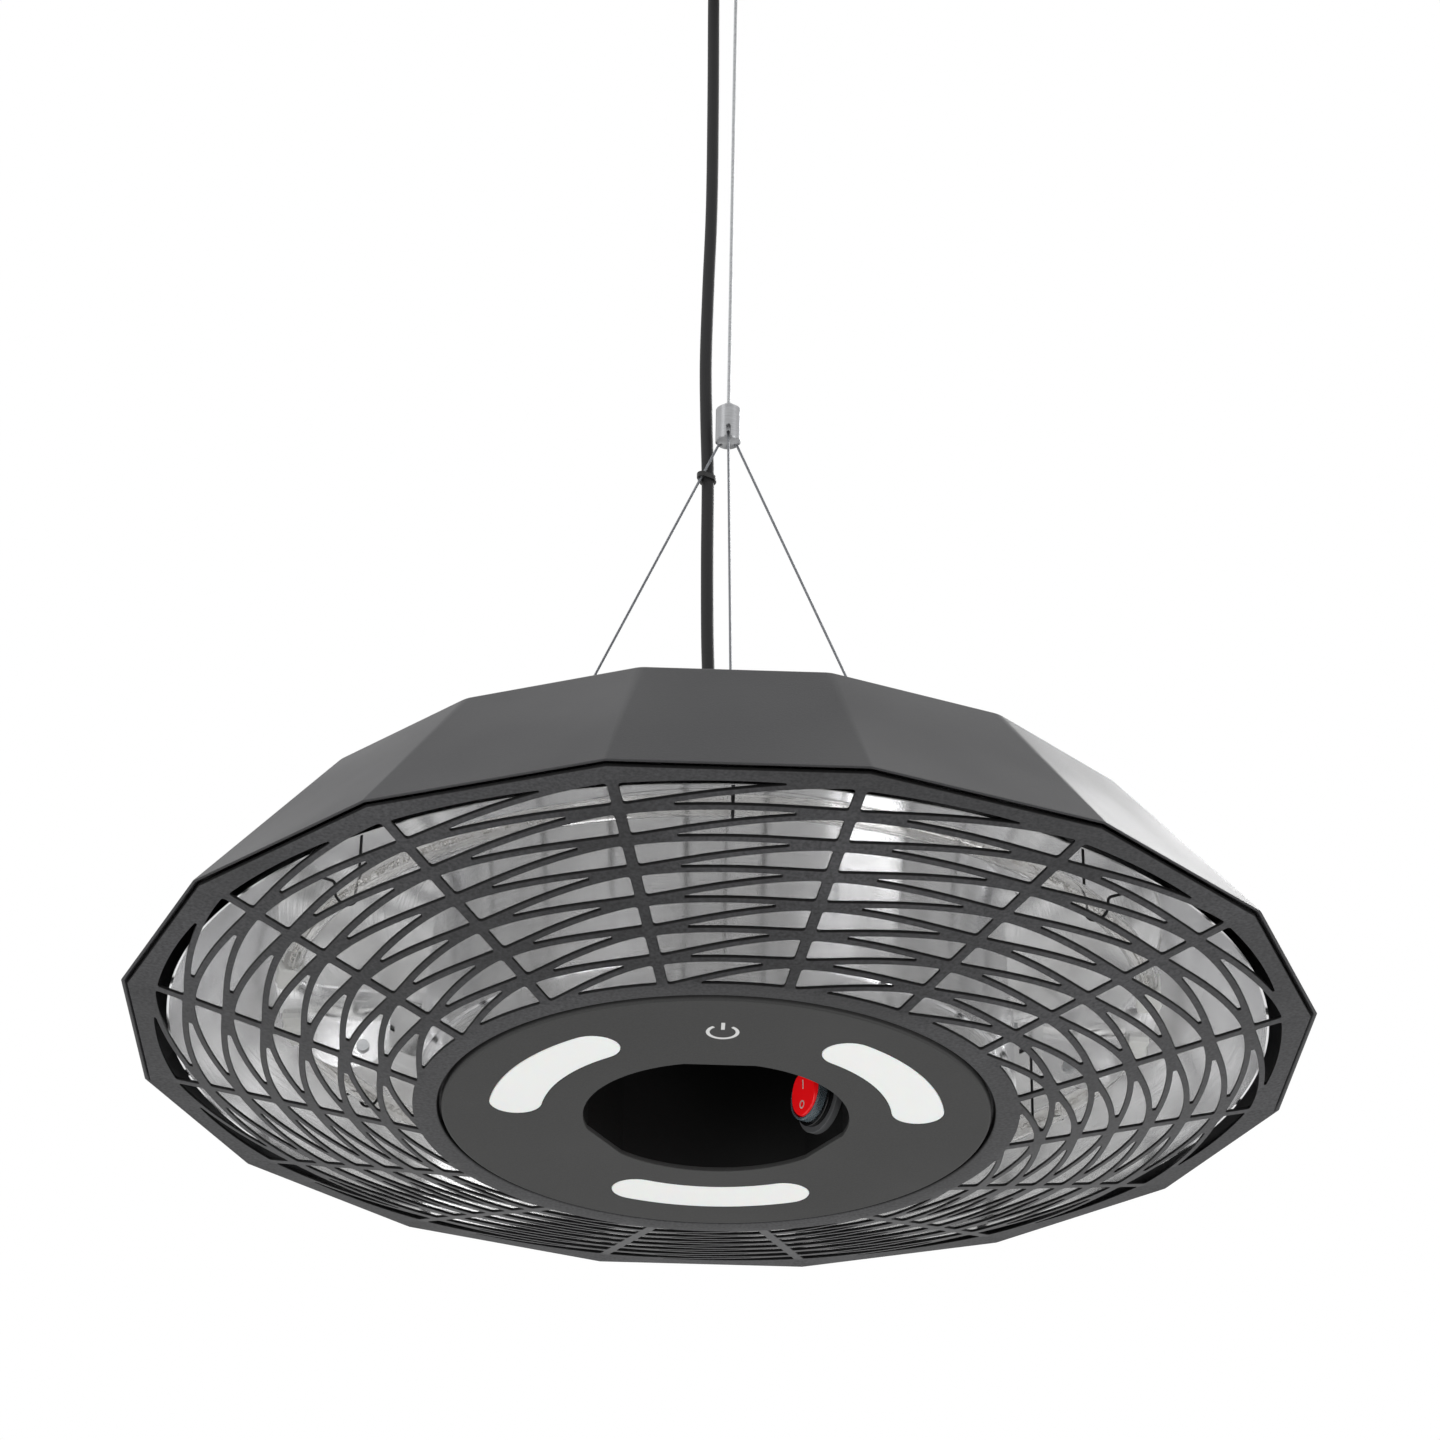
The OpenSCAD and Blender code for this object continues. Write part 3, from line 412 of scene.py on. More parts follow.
def cord_rubber(values):
    """Rubber-sheathed flexible cord: matt black with a soft sheen, dusty in specks of 1.4 mm,
    and with faint sheath ripples about 9 mm long from the cores under it."""
    made, tree = blank("Rubber cord sheath")
    place = add(tree, "ShaderNodeTexCoord").outputs["Object"]
    dust = add(tree, "ShaderNodeTexNoise", {"Vector": place, "Scale": 700.0, "Detail": 3.0})
    ripple = add(tree, "ShaderNodeTexNoise", {"Vector": place, "Scale": 110.0})
    both = add(tree, "ShaderNodeMath", {0: ripple, 1: 2.0, 2: dust}, operation="MULTIPLY_ADD")
    tint = add(tree, "ShaderNodeValToRGB", {"Fac": dust},
               ends(scaled(values, 0.85), scaled(values, 1.2)))
    rough = add(tree, "ShaderNodeValToRGB", {"Fac": dust}, ends(0.46, 0.62))
    return surfaced(made, both, (0.00006, 0.5),
                    {"Base Color": tint, "Roughness": rough, "Specular IOR Level": 0.25})


# ---- meshes ----------------------------------------------------------------------------


def polar(r, a, *z):
    """A point at a radius and an angle, and at a height where one is given."""
    return (r * cos(a), r * sin(a), *z)


def spread(start, end, steps):
    """Numbers in even steps from start to end, both included."""
    return [start + (end - start) * i / steps for i in range(steps + 1)]


class Shell:
    """Points and faces of one piece, in heater millimetres."""

    def __init__(self):
        self.points = []
        self.faces = []

    def add(self, points, faces):
        start = len(self.points)
        self.points += [tuple(p) for p in points]
        self.faces += [tuple(start + i for i in face) for face in faces]

    def bands(self, rings, closed=True, lids=False):
        """Walls of quads from each ring of points to the next, with a flat face over the
        first and the last ring where lids are asked for."""
        n = len(rings[0])
        faces = []
        for k in range(0, n * (len(rings) - 1), n):
            for j in range(n if closed else n - 1):
                m = (j + 1) % n
                faces.append((k + j, k + m, k + n + m, k + n + j))
        self.add([p for ring in rings for p in ring], faces)
        for ring in (rings[0], rings[-1]) if lids else ():
            self.add(ring, [range(n)])

    def skin(self, outer, holes, height):
        """A sheet's face inside an outline and round its holes, at one height or at the
        height of each point."""
        loops = [outer, *holes]
        points = [Vector(p[:2]) for loop in loops for p in loop]
        edges, start = [], 0
        for loop in loops:
            n = len(loop)
            edges += [(start + i, start + (i + 1) % n) for i in range(n)]
            start += n
        made, _, faces, *_ = geometry.delaunay_2d_cdt(points, edges, [], 1, 1e-6)
        kept = []
        for face in faces:
            x = sum(made[i].x for i in face) / len(face)
            y = sum(made[i].y for i in face) / len(face)
            if inside(outer, x, y) and not any(inside(hole, x, y) for hole in holes):
                kept.append(face)
        self.add([(*p, height(*p) if callable(height) else height) for p in made], kept)


def inside(loop, x, y):
    """Whether a point lies in a closed outline."""
    odd = False
    ax, ay = loop[-1][:2]
    for bx, by in (p[:2] for p in loop):
        if (ay > y) != (by > y) and x < (bx - ax) * (y - ay) / (by - ay) + ax:
            odd = not odd
        ax, ay = bx, by
    return odd


def rounded(points, radius, steps=4, closed=True):
    """An outline with its corners rounded, each no more than its sides allow."""
    out, n = [], len(points)
    for i, p in enumerate(points):
        p, before, after = Vector(p), Vector(points[i - 1]), Vector(points[(i + 1) % n])
        a, b = before - p, after - p
        plain = min(a.length, b.length) < 1e-9 or not closed and i in (0, n - 1)
        turn = 0.0 if plain else pi - a.angle(b)
        if turn < radians(20):
            out.append(tuple(p))
            continue
        cut = min(radius * tan(turn / 2), 0.49 * a.length, 0.49 * b.length)
        start, end = p + a.normalized() * cut, p + b.normalized() * cut
        out += [tuple(start * (1 - t) ** 2 + p * (2 * t * (1 - t)) + end * t * t)
                for t in spread(0, 1, steps)]
    return out


def grown(loop, by):
    """A closed outline moved outwards along its corners, for one that runs anticlockwise."""
    out, n = [], len(loop)
    for i, p in enumerate(loop):
        a = (Vector(p[:2]) - Vector(loop[i - 1][:2])).normalized()
        b = (Vector(loop[(i + 1) % n][:2]) - Vector(p[:2])).normalized()
        side = Vector((a.y + b.y, -a.x - b.x)).normalized()
        share = max(0.4, side.x * a.y - side.y * a.x)
        out.append((p[0] + side.x * by / share, p[1] + side.y * by / share))
    return out


def anticlockwise(loop):
    """The outline in the order that runs anticlockwise."""
    area = sum(loop[i - 1][0] * p[1] - p[0] * loop[i - 1][1] for i, p in enumerate(loop))
    return loop if area > 0 else loop[::-1]


def edge_steps(edge, thick):
    """How far a rounded sheet edge stands back, and how deep, from face to face."""
    near = [(edge, 0.0), (edge * 0.3, edge * 0.3), (0.0, edge)]
    return near + [(back, thick - deep) for back, deep in reversed(near)]


def round_loop(r, count, middle=(0.0, 0.0)):
    """A circle's points, anticlockwise."""
    return [(middle[0] + r * cos(a), middle[1] + r * sin(a))
            for a in spread(0, 2 * pi, count)[:-1]]


def placed(name, data):
    """A new object of a mesh, a curve, a lamp or a camera, in the scene."""
    made = bpy.data.objects.new(name, data)
    bpy.context.scene.collection.objects.link(made)
    return made


@contextmanager
def worked(mesh):
    """Opens a mesh for changes and writes them back."""
    work = bmesh.new()
    work.from_mesh(mesh)
    yield work
    work.to_mesh(mesh)
    work.free()


def raw_piece(name, shell, material):
    """A plain mesh object from a shell, lowered to its place."""
    mesh = bpy.data.meshes.new(name)
    mesh.from_pydata([(x * MM, y * MM, (z - DROP) * MM) for x, y, z in shell.points], [],
                     shell.faces)
    mesh.materials.append(material)
    return placed(name, mesh)


def piece(name, shell, material, sharp=32):
    """A finished piece from a shell."""
    return settle(raw_piece(name, shell, material), sharp=sharp)


def smooth(made):
    """Smooth shading on a piece."""
    made.data.polygons.foreach_set("use_smooth", [True] * len(made.data.polygons))
    return made


def settle(made, merge=0.0005, sharp=32):
    """Welds a mesh, turns its faces outwards, and shades it smooth up to its sharp edges."""
    with worked(made.data) as work:
        bmesh.ops.remove_doubles(work, verts=work.verts, dist=merge * MM)
        bmesh.ops.dissolve_degenerate(work, edges=work.edges, dist=merge * MM * 0.2)
        bmesh.ops.recalc_face_normals(work, faces=work.faces)
    smooth(made).data.set_sharp_from_angle(angle=radians(sharp))
    weights = made.modifiers.new("Weighted normals", "WEIGHTED_NORMAL")
    weights.keep_sharp = True
    weights.weight = 80
    return bake(made)


def bake(made):
    """Turns an object's evaluated result into its plain mesh, and drops its modifiers."""
    ready = made.evaluated_get(bpy.context.evaluated_depsgraph_get())
    mesh = bpy.data.meshes.new_from_object(ready)
    mesh.name = name = made.name
    if made.type == "MESH":
        made.modifiers.clear()
        made.data = mesh
        return made
    bpy.data.objects.remove(made)
    return placed(name, mesh)


def joined(first, *others):
    """One mesh object of several."""
    with worked(first.data) as work:
        for made in others:
            work.from_mesh(made.data)
            bpy.data.objects.remove(made)
    return first


def mark_level(made):
    """Stores how level the surface lies at each corner, for the painted shade on upright edges."""
    mesh = made.data
    level = mesh.attributes.new("level", "FLOAT", "CORNER")
    level.data.foreach_set("value", [abs(held.vector.z) for held in mesh.corner_normals])


def refined(node, material, slot, width=0.25, body="heater"):
    """A finished piece from a copy of a CAD node's mesh: welded, with its edges eased."""
    made = placed(f"{node}_eased", frame["nodes"][node].data.copy())
    made.data.materials.clear()
    made.data.materials.append(material)
    with worked(made.data) as work:
        bmesh.ops.remove_doubles(work, verts=work.verts, dist=0.002 * MM)
        bmesh.ops.dissolve_limit(work, angle_limit=radians(1), verts=work.verts,
                                 edges=work.edges)
    eased = made.modifiers.new("Eased edges", "BEVEL")
    eased.limit_method = "ANGLE"
    eased.angle_limit = radians(35)
    eased.width = width * MM
    eased.segments = 2
    return ride(settle(bake(made), 0.001, 40), slot, node, body=body)


def lathe(profile, steps=96):
    """A shell turned round the z axis from a closed outline of radius and height."""
    made = Shell()
    made.bands([[polar(r, a, z) for a in spread(0, 2 * pi, steps)[:-1]]
                for r, z in (*profile, profile[0])])
    return made


def tube(path, radius, sides=12):
    """A closed shell round a path of points, with a frame carried along it."""
    made, rings = Shell(), []
    path = [Vector(p) for p in path]
    side = (path[1] - path[0]).normalized().orthogonal().normalized()
    for i, p in enumerate(path):
        ahead = (path[min(i + 1, len(path) - 1)] - path[max(i - 1, 0)]).normalized()
        side = (side - ahead * side.dot(ahead)).normalized()
        other = ahead.cross(side)
        rings.append([p + (side * cos(a) + other * sin(a)) * radius
                      for a in spread(0, 2 * pi, sides)[:-1]])
    made.bands(rings, lids=True)
    return made


def ride(made, slot, *nodes, body="heater"):
    """Puts a finished piece on its body, for the nodes that it stands for."""
    if nodes:
        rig.replaces(made, *nodes)
    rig.slot(made, slot)
    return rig.ride(made, body)


def coat(material, *nodes):
    """Gives CAD nodes that are shown as they are their finish."""
    for node in nodes:
        shown = frame["nodes"][node]
        shown.data.materials.clear()
        shown.data.materials.append(material)


# ---- repeats and wound forms -----------------------------------------------------------


def tree_with(name, *sockets):
    """A new Geometry Nodes tree with a geometry in and out, named inputs and a material."""
    tree = bpy.data.node_groups.new(name, "GeometryNodeTree")
    for label, kind in (("Geometry", "Geometry"), *sockets, ("Material", "Material")):
        tree.interface.new_socket(label, in_out="INPUT", socket_type=f"NodeSocket{kind}")
    tree.interface.new_socket("Geometry", in_out="OUTPUT", socket_type="NodeSocketGeometry")
    return tree, tree.nodes.new("NodeGroupInput").outputs


def end_tree(tree, shape, material):
    """Ends a tree in plain geometry with its material."""
    real = add(tree, "GeometryNodeRealizeInstances", {"Geometry": shape})
    coated = add(tree, "GeometryNodeSetMaterial", {"Geometry": real, "Material": material})
    add(tree, "NodeGroupOutput", {0: coated})
    return tree


def run_tree(made, tree, values):
    """Runs a tree on an object once and keeps the result as its mesh."""
    modifier = made.modifiers.new(tree.name, "NODES")
    modifier.node_group = tree
    for item in tree.interface.items_tree:
        if item.in_out == "INPUT" and item.name in values:
            modifier[item.identifier] = values[item.name]
    return bake(made)


def ring_tree():
    """Copies of a piece turned round the heater's axis, one for each point of the host."""
    tree, given = tree_with("Copies round the axis", ("Piece", "Object"))
    source = add(tree, "GeometryNodeObjectInfo", {"Object": given["Piece"]},
                 transform_space="ORIGINAL").outputs["Geometry"]
    place = add(tree, "GeometryNodeInputPosition")
    part = add(tree, "ShaderNodeSeparateXYZ", {"Vector": place}).outputs
    turn = add(tree, "ShaderNodeMath", {0: part["Y"], 1: part["X"]}, operation="ARCTAN2")
    spin = add(tree, "FunctionNodeEulerToRotation",
               {"Euler": add(tree, "ShaderNodeCombineXYZ", {"Z": turn})})
    copies = add(tree, "GeometryNodeInstanceOnPoints",
                 {"Points": given["Geometry"], "Instance": source, "Rotation": spin})
    back = add(tree, "ShaderNodeVectorMath", {0: place, "Scale": -1.0}, operation="SCALE")
    moved = add(tree, "GeometryNodeTranslateInstances",
                {"Instances": copies, "Translation": back, "Local Space": False})
    return end_tree(tree, moved, given["Material"])


def copies_round(name, source, angles, material, merge=0.0005, sharp=32):
    """One piece made of a source drawn at angle 0, at each of the angles."""
    mesh = bpy.data.meshes.new(name)
    mesh.from_pydata([polar(1.0, a, 0.0) for a in angles], [], [])
    tree = bpy.data.node_groups.get("Copies round the axis") or ring_tree()
    made = run_tree(placed(name, mesh), tree, {"Piece": source, "Material": material})
    bpy.data.objects.remove(source)
    return settle(made, merge, sharp)


def strand_tree():
    """Round strands laid round a core along the host's path, as in a steel rope."""
    tree, given = tree_with("Twisted strands", ("Lay", "Float"), ("Strands", "Int"),
                            ("Strand Radius", "Float"), ("Ring Radius", "Float"),
                            ("Step", "Float"))
    path = add(tree, "GeometryNodeResampleCurve",
               {"Curve": given["Geometry"], "Length": given["Step"]}, mode="LENGTH")
    run = add(tree, "GeometryNodeSplineParameter").outputs["Length"]
    turns = add(tree, "ShaderNodeMath", {0: run, 1: given["Lay"]}, operation="DIVIDE")
    angle = add(tree, "ShaderNodeMath", {0: turns, 1: 2 * pi}, operation="MULTIPLY")
    path = add(tree, "GeometryNodeSetCurveTilt", {"Curve": path, "Tilt": angle})
    strand = add(tree, "GeometryNodeCurvePrimitiveCircle",
                 {"Resolution": 7, "Radius": given["Strand Radius"]})
    ring = add(tree, "GeometryNodeCurvePrimitiveCircle",
               {"Resolution": given["Strands"], "Radius": given["Ring Radius"]})
    outer = add(tree, "GeometryNodeInstanceOnPoints", {"Points": ring, "Instance": strand})
    outer = add(tree, "GeometryNodeRealizeInstances", {"Geometry": outer})
    both = add(tree, "GeometryNodeJoinGeometry", {"Geometry": outer})
    tree.links.new(strand.outputs[0], both.inputs[0])
    wound = add(tree, "GeometryNodeCurveToMesh",
                {"Curve": path, "Profile Curve": both, "Fill Caps": True})
    return end_tree(tree, wound, given["Material"])


def coil_tree():
    """A wire wound round the host's path with a pitch that varies a little."""
    tree, given = tree_with("Wound coil", ("Pitch", "Float"), ("Coil Radius", "Float"),
                            ("Wire Radius", "Float"), ("Step", "Float"))
    path = add(tree, "GeometryNodeResampleCurve",
               {"Curve": given["Geometry"], "Length": given["Step"]}, mode="LENGTH")
    run = add(tree, "GeometryNodeSplineParameter").outputs["Length"]
    turns = add(tree, "ShaderNodeMath", {0: run, 1: given["Pitch"]}, operation="DIVIDE")
    uneven = add(tree, "ShaderNodeTexNoise", {"W": run, "Scale": 95.0, "Detail": 1.0},
                 noise_dimensions="1D")
    turns = add(tree, "ShaderNodeMath", {0: uneven, 1: 6.0, 2: turns},
                operation="MULTIPLY_ADD")
    angle = add(tree, "ShaderNodeMath", {0: turns, 1: 2 * pi}, operation="MULTIPLY")
    out = add(tree, "ShaderNodeMath", {0: angle}, operation="COSINE")
    up = add(tree, "ShaderNodeMath", {0: angle}, operation="SINE")
    normal = add(tree, "GeometryNodeInputNormal")
    across = add(tree, "ShaderNodeVectorMath",
                 {0: normal, 1: add(tree, "GeometryNodeInputTangent")},
                 operation="CROSS_PRODUCT")
    first = add(tree, "ShaderNodeVectorMath", {0: normal, "Scale": out}, operation="SCALE")
    second = add(tree, "ShaderNodeVectorMath", {0: across, "Scale": up}, operation="SCALE")
    both = add(tree, "ShaderNodeVectorMath", {0: first, 1: second}, operation="ADD")
    offset = add(tree, "ShaderNodeVectorMath", {0: both, "Scale": given["Coil Radius"]},
                 operation="SCALE")
    wound = add(tree, "GeometryNodeSetPosition", {"Geometry": path, "Offset": offset})
    wire = add(tree, "GeometryNodeCurvePrimitiveCircle",
               {"Resolution": 5, "Radius": given["Wire Radius"]})
    solid = add(tree, "GeometryNodeCurveToMesh",
                {"Curve": wound, "Profile Curve": wire, "Fill Caps": True})
    return end_tree(tree, solid, given["Material"])


def wound_piece(name, points, tree, values):
    """A piece that a tree winds along a line of straight steps through points."""
    data = bpy.data.curves.new(name, "CURVE")
    data.dimensions = "3D"
    line = data.splines.new("POLY")
    line.points.add(len(points) - 1)
    for knot, (x, y, z) in zip(line.points, points):
        knot.co = (x * MM, y * MM, (z - DROP) * MM, 1.0)
    return smooth(run_tree(placed(name, data), tree, values))


# ---- sizes shared with the CAD part, in heater millimetres --------------------------------

RIM_FLAT, DECK_FLAT = 300 * cos(HALF), 226 * cos(HALF)
SHADE_H = 91.0
SHADE_WALL = 1.6
WALL_ANGLE = atan2(SHADE_H, RIM_FLAT - DECK_FLAT)
WALL_LEVEL = SHADE_WALL / sin(WALL_ANGLE)
BEND = 6.0
BEND_X = DECK_FLAT - BEND * tan(WALL_ANGLE / 2)
DECK_UNDER = SHADE_H - SHADE_WALL
EDGE_SOFT_LOW, EDGE_SOFT_TOP = 4.0, 16.0


def inner_flat(z):
    """Distance of the shade's inner wall from the axis, at the middle of a side."""
    return RIM_FLAT - WALL_LEVEL - z / tan(WALL_ANGLE)


RING_FLAT = inner_flat(0) - 1.5
RING_R = RING_FLAT - 8.7
DISH_R = RING_R + 3
DISH_SLOPE = 0.272
GRILLE_T = 1.6
PLATE_R = 137.2
LIP_R = PLATE_R + 1.8
COLLAR_R = LIP_R + 12.5
COLLAR_Z = -(DISH_R - COLLAR_R + 1.5) * DISH_SLOPE
ROWS = 7
PITCH = (RING_R - COLLAR_R + 6.7) / ROWS
BAR_W, BAR_FLARE, RIB_W, TIP_EASE = 3.5, 2.6, 5.2, 0.6
PLATE_Z, PLATE_T = 39.4, 2.5
PLATE_TOP = PLATE_T - PLATE_Z
FLANGE_UNDER = PLATE_TOP + 2.3
FLANGE_TOP = FLANGE_UNDER + 1.6
WELL_R, WELL_FLAT = 66.5, 64.2
WINDOW_R, WINDOW_W, WINDOW_HALF = 100.8, 26.5, radians(22.4)
WINDOWS = (90, 210, 330)
REFLECTOR_T = 0.8
REFLECTOR_Z = DECK_UNDER - 26.6 - REFLECTOR_T
REFLECTOR_LIP = inner_flat(0) - 16.3
REFLECTOR_TOP = inner_flat(REFLECTOR_Z) - 16.3
LAMP_R = REFLECTOR_TOP - 9.4
LAMP_Z = REFLECTOR_Z - 41
TUBE_START, CAP_START = radians(11.5), radians(4.5)
TUBE_OUT, TUBE_IN, COIL_R, HOOK_WIRE = 5.48, 4.5, 1.4, 0.75
LEGS = (-90, 30, 150)
ANCHOR_R = 162.6
GRIPPER_Z = 367.0
LEG_TOP_R, LEG_TOP_Z, LEG_LOW_Z = 2.6, GRIPPER_Z + 6, SHADE_H + 5
CORD_R, GLAND = 3.5, (-8, 12)
SWITCH_FRAME = (Matrix.Translation((0, 0, -12.3)) @ Matrix.Rotation(radians(30), 4, "Z")
                @ Matrix.Rotation(radians(18), 4, "X"))
ROCKER_R, PIN_R = 11.9, 1.2
ROCKER_FRAME = (SWITCH_FRAME @ Matrix.Translation((56, 0, 0))
                @ Matrix.Rotation(radians(-8), 4, "Y"))


# ---- the pieces ------------------------------------------------------------------------


class HEATER_OT_camera(bpy.types.Operator):
    """Makes the camera at the photograph's place"""

    bl_idname = "heater.camera"
    bl_label = "Camera"

    def execute(self, context):
        a, e, roll = radians(-1.322), radians(-29.854), radians(1.042)
        back = Vector((sin(a) * cos(e), -cos(a) * cos(e), sin(e)))
        right = (-back).cross(Vector((0, 0, 1))).normalized()
        up = right.cross(-back)
        x_axis = right * cos(roll) + up * sin(roll)
        y_axis = up * cos(roll) - right * sin(roll)
        data = bpy.data.cameras.new("Camera")
        data.lens = 94.098
        data.sensor_width = 36
        data.clip_start = 0.05
        made = placed("Camera", data)
        turn = Matrix((x_axis, y_axis, back)).transposed().to_4x4()
        made.matrix_world = Matrix.Translation((-0.0415, -1.7285, -1.5721)) @ turn
        context.scene.camera = made
        return {"FINISHED"}


# The cord's route, from its ceiling end to its end in the heater
CORD_ROUTE = [
    (-13, 12, 750), (-13, 12, 700), (-12, 12, 620), (-11.5, 12, 540), (-12.5, 12, 480),
    (-13, 12, 430), (-12, 12, 390), (-10.5, 12, 350), (-10, 12, 300), (-9, 12, 250),
    (-7.5, 12, 210), (-7, 12, 170), (-8, 12, 130), (-8, 12, 51.4),
]


def smooth_route(points, steps):
    """Points on a soft curve that runs through every point of a route."""
    out = []
    for i in range(len(points) - 1):
        p, q, r, s = (Vector(points[min(max(k, 0), len(points) - 1)])
                      for k in (i - 1, i, i + 1, i + 2))
        out += [0.5 * (2 * q + (r - p) * t + (2 * p - 5 * q + 4 * r - s) * t * t
                       + (3 * q - p - 3 * r + s) * t**3) for t in spread(0, 1, steps)[:-1]]
    return [*out, Vector(points[-1])]


class HEATER_OT_cord(bpy.types.Operator):
    """Makes the power cord and the tie that holds it to a leg wire"""

    bl_idname = "heater.cord"
    bl_label = "Power cord"

    def execute(self, context):
        rubber = cord_rubber(context.scene.heater_hanging.cord_colour)
        route = smooth_route(CORD_ROUTE, 6)
        cord = piece("power_cord_sheath", tube(route, CORD_R - 0.02, 20), rubber)
        ride(cord, "cord_rubber", "power_cord")
        places = [(p.x * MM, p.y * MM, (p.z - DROP) * MM) for p in route]
        run = sum((Vector(b) - Vector(a)).length for a, b in zip(places, places[1:]))
        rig.cord(cord, exit=places[-1], length=run, diameter=0.007, far_end="object",
                stiffness="medium", lay="taut", path=places[::-1])
        nylon = moulded("Black nylon tie", "#141414", 0.35)
        ride(piece("cable_tie_band", tie_shell(), nylon, 40), "black_plastic", "cable_tie")
        return {"FINISHED"}


def tie_shell():
    """A flat band drawn round the cord and the left leg wire, with its locking head."""
    z, wire_r = 350.0, 1.65
    out = ANCHOR_R + (LEG_TOP_R - ANCHOR_R) * (z - LEG_LOW_Z) / (LEG_TOP_Z - LEG_LOW_Z)
    cord, wire = Vector((-10.5, 12.0)), Vector(polar(out, radians(150)))
    axis = wire - cord
    lean = atan2(axis.y, axis.x)
    open_by = acos((CORD_R - wire_r) / axis.length)
    bends = ((cord, CORD_R, lean + open_by, lean + 2 * pi - open_by),
             (wire, wire_r, lean - open_by, lean + open_by))
    section = ((0.12, -1.4), (1.2, -1.5), (1.3, -1.2), (1.3, 1.2), (1.2, 1.5), (0.12, 1.4))
    rings = [[(*(middle + Vector(polar(r + off, a))), z + high)
              for middle, r, start, end in bends for a in spread(start, end, 16)]
             for off, high in section]
    made = Shell()
    made.bands([*rings, rings[0]])
    wide, thick = 1.9, 1.5
    head = [(-wide, -thick), (wide, -thick), (wide, thick), (-wide, thick)]
    turn = Matrix.Rotation(lean - pi / 2, 2)
    middle = (cord + wire) / 2 + turn @ Vector((2.3, 0.0))
    loops = []
    for inset, high in ((0.4, -1.9), (0.0, -1.5), (0.0, 1.5), (0.4, 1.9)):
        loop = rounded([turn @ (Vector(p) * (1 - inset / wide)) + middle for p in head], 0.7, 3)
        loops.append([(*p, z + high) for p in loop])
    made.bands(loops, lids=True)
    return made


def side_ring(flat, soft, z, steps=8):
    """One closed outline of the shade: straight sides with softened corners."""
    middle = (flat - soft) / cos(HALF)
    ring = []
    for k in range(SIDES):
        corner = polar(middle, k * SECTOR + HALF)
        ring += [(corner[0] + soft * cos(b), corner[1] + soft * sin(b), z)
                 for b in spread(k * SECTOR, (k + 1) * SECTOR, steps)]
    return ring


def bend_rings(r, soft, steps=6):
    """The outlines down the soft bend of a radius from the deck to the wall."""
    return [side_ring(BEND_X + r * cos(b), soft + r * (cos(b) - 1),
                      SHADE_H - BEND + r * sin(b))
            for b in spread(pi / 2, pi / 2 - WALL_ANGLE, steps)]


class HEATER_OT_shade(bpy.types.Operator):
    """Makes the pressed sixteen-sided shade"""

    bl_idname = "heater.shade"
    bl_label = "Shade"

    def execute(self, context):
        look = context.scene.heater_body
        paint = powder_coat("Powder coat on the shade", look.shade_colour, look.grain, 0.42)
        outer = bend_rings(BEND, EDGE_SOFT_TOP) + [
            side_ring(RIM_FLAT - 0.7 / tan(WALL_ANGLE), EDGE_SOFT_LOW + 0.1, 0.7),
            side_ring(RIM_FLAT - 0.35, EDGE_SOFT_LOW, 0.16),
            side_ring(RIM_FLAT - 0.75, EDGE_SOFT_LOW - 0.3, 0.0)]
        soft_low = EDGE_SOFT_LOW - WALL_LEVEL + 1
        inner = bend_rings(BEND - SHADE_WALL, EDGE_SOFT_TOP - WALL_LEVEL) + [
            side_ring(inner_flat(0.6), soft_low + 0.1, 0.6),
            side_ring(inner_flat(0) + 0.2, soft_low, 0.1),
            side_ring(inner_flat(0) + 0.5, soft_low, 0.0)]
        made = Shell()
        made.bands([*outer, *reversed(inner)])
        holes = [round_loop(2.05, 24, polar(ANCHOR_R, radians(a))) for a in LEGS]
        holes.append(round_loop(6.05, 40, GLAND))
        made.skin(outer[0], holes, SHADE_H)
        made.skin(inner[0], holes, DECK_UNDER)
        for hole in holes:
            made.bands([[(*p, z) for p in hole] for z in (SHADE_H, DECK_UNDER)])
        ride(piece("shade_pressing", made, paint, 26), "shade_paint", "housing_shade")
        return {"FINISHED"}


def row_r(k):
    """Radius of the bar line between two rows at the start of a sector."""
    return RING_R + 3.4 - PITCH * k


def half_bar(t, u):
    """Half the width of a bar at t across its run from rib to rib, beside a slot with its
    wide end at u = 0 and its blunt tip at 1."""
    return BAR_W / 2 + BAR_FLARE / 2 * abs(2 * t - 1) ** 3 - TIP_EASE * u**3


def at(r, t):
    """A point across a sector, from the edge of one rib to the edge of the next."""
    edge = asin(RIB_W / 2 / r)
    return polar(r, edge + t * (SECTOR - 2 * edge))


TIP = 1 - (BAR_W + 0.9) / PITCH
TIP_RING = (RING_R - row_r(1) - BAR_W / 2 - 0.6) / PITCH
TIP_COLLAR = 1 - (COLLAR_R - row_r(ROWS) + BAR_W / 2 + 0.6) / PITCH


def slots(steps=12):
    """The slots of one sector, each a wedge that narrows across it."""
    out = []
    for k in range(ROWS):
        first = TIP_RING if k == 0 else TIP
        second = TIP_COLLAR if k == ROWS - 1 else TIP
        high, low = row_r(k), row_r(k + 1)
        run = [(u, first * u) for u in spread(0, 1, steps)]
        out.append([at(min(high - half_bar(t, u), RING_R), t) for u, t in run]
                   + [at(low + PITCH * t + half_bar(t, u), t) for u, t in run[::-1]])
        run = [(u, 1 - second * u) for u in spread(0, 1, steps)]
        out.append([at(low + PITCH * t - half_bar(t, u), t) for u, t in run]
                   + [at(max(low + half_bar(t, u), COLLAR_R), t) for u, t in run[::-1]])
    return [rounded(anticlockwise(loop), 1.8) for loop in out]


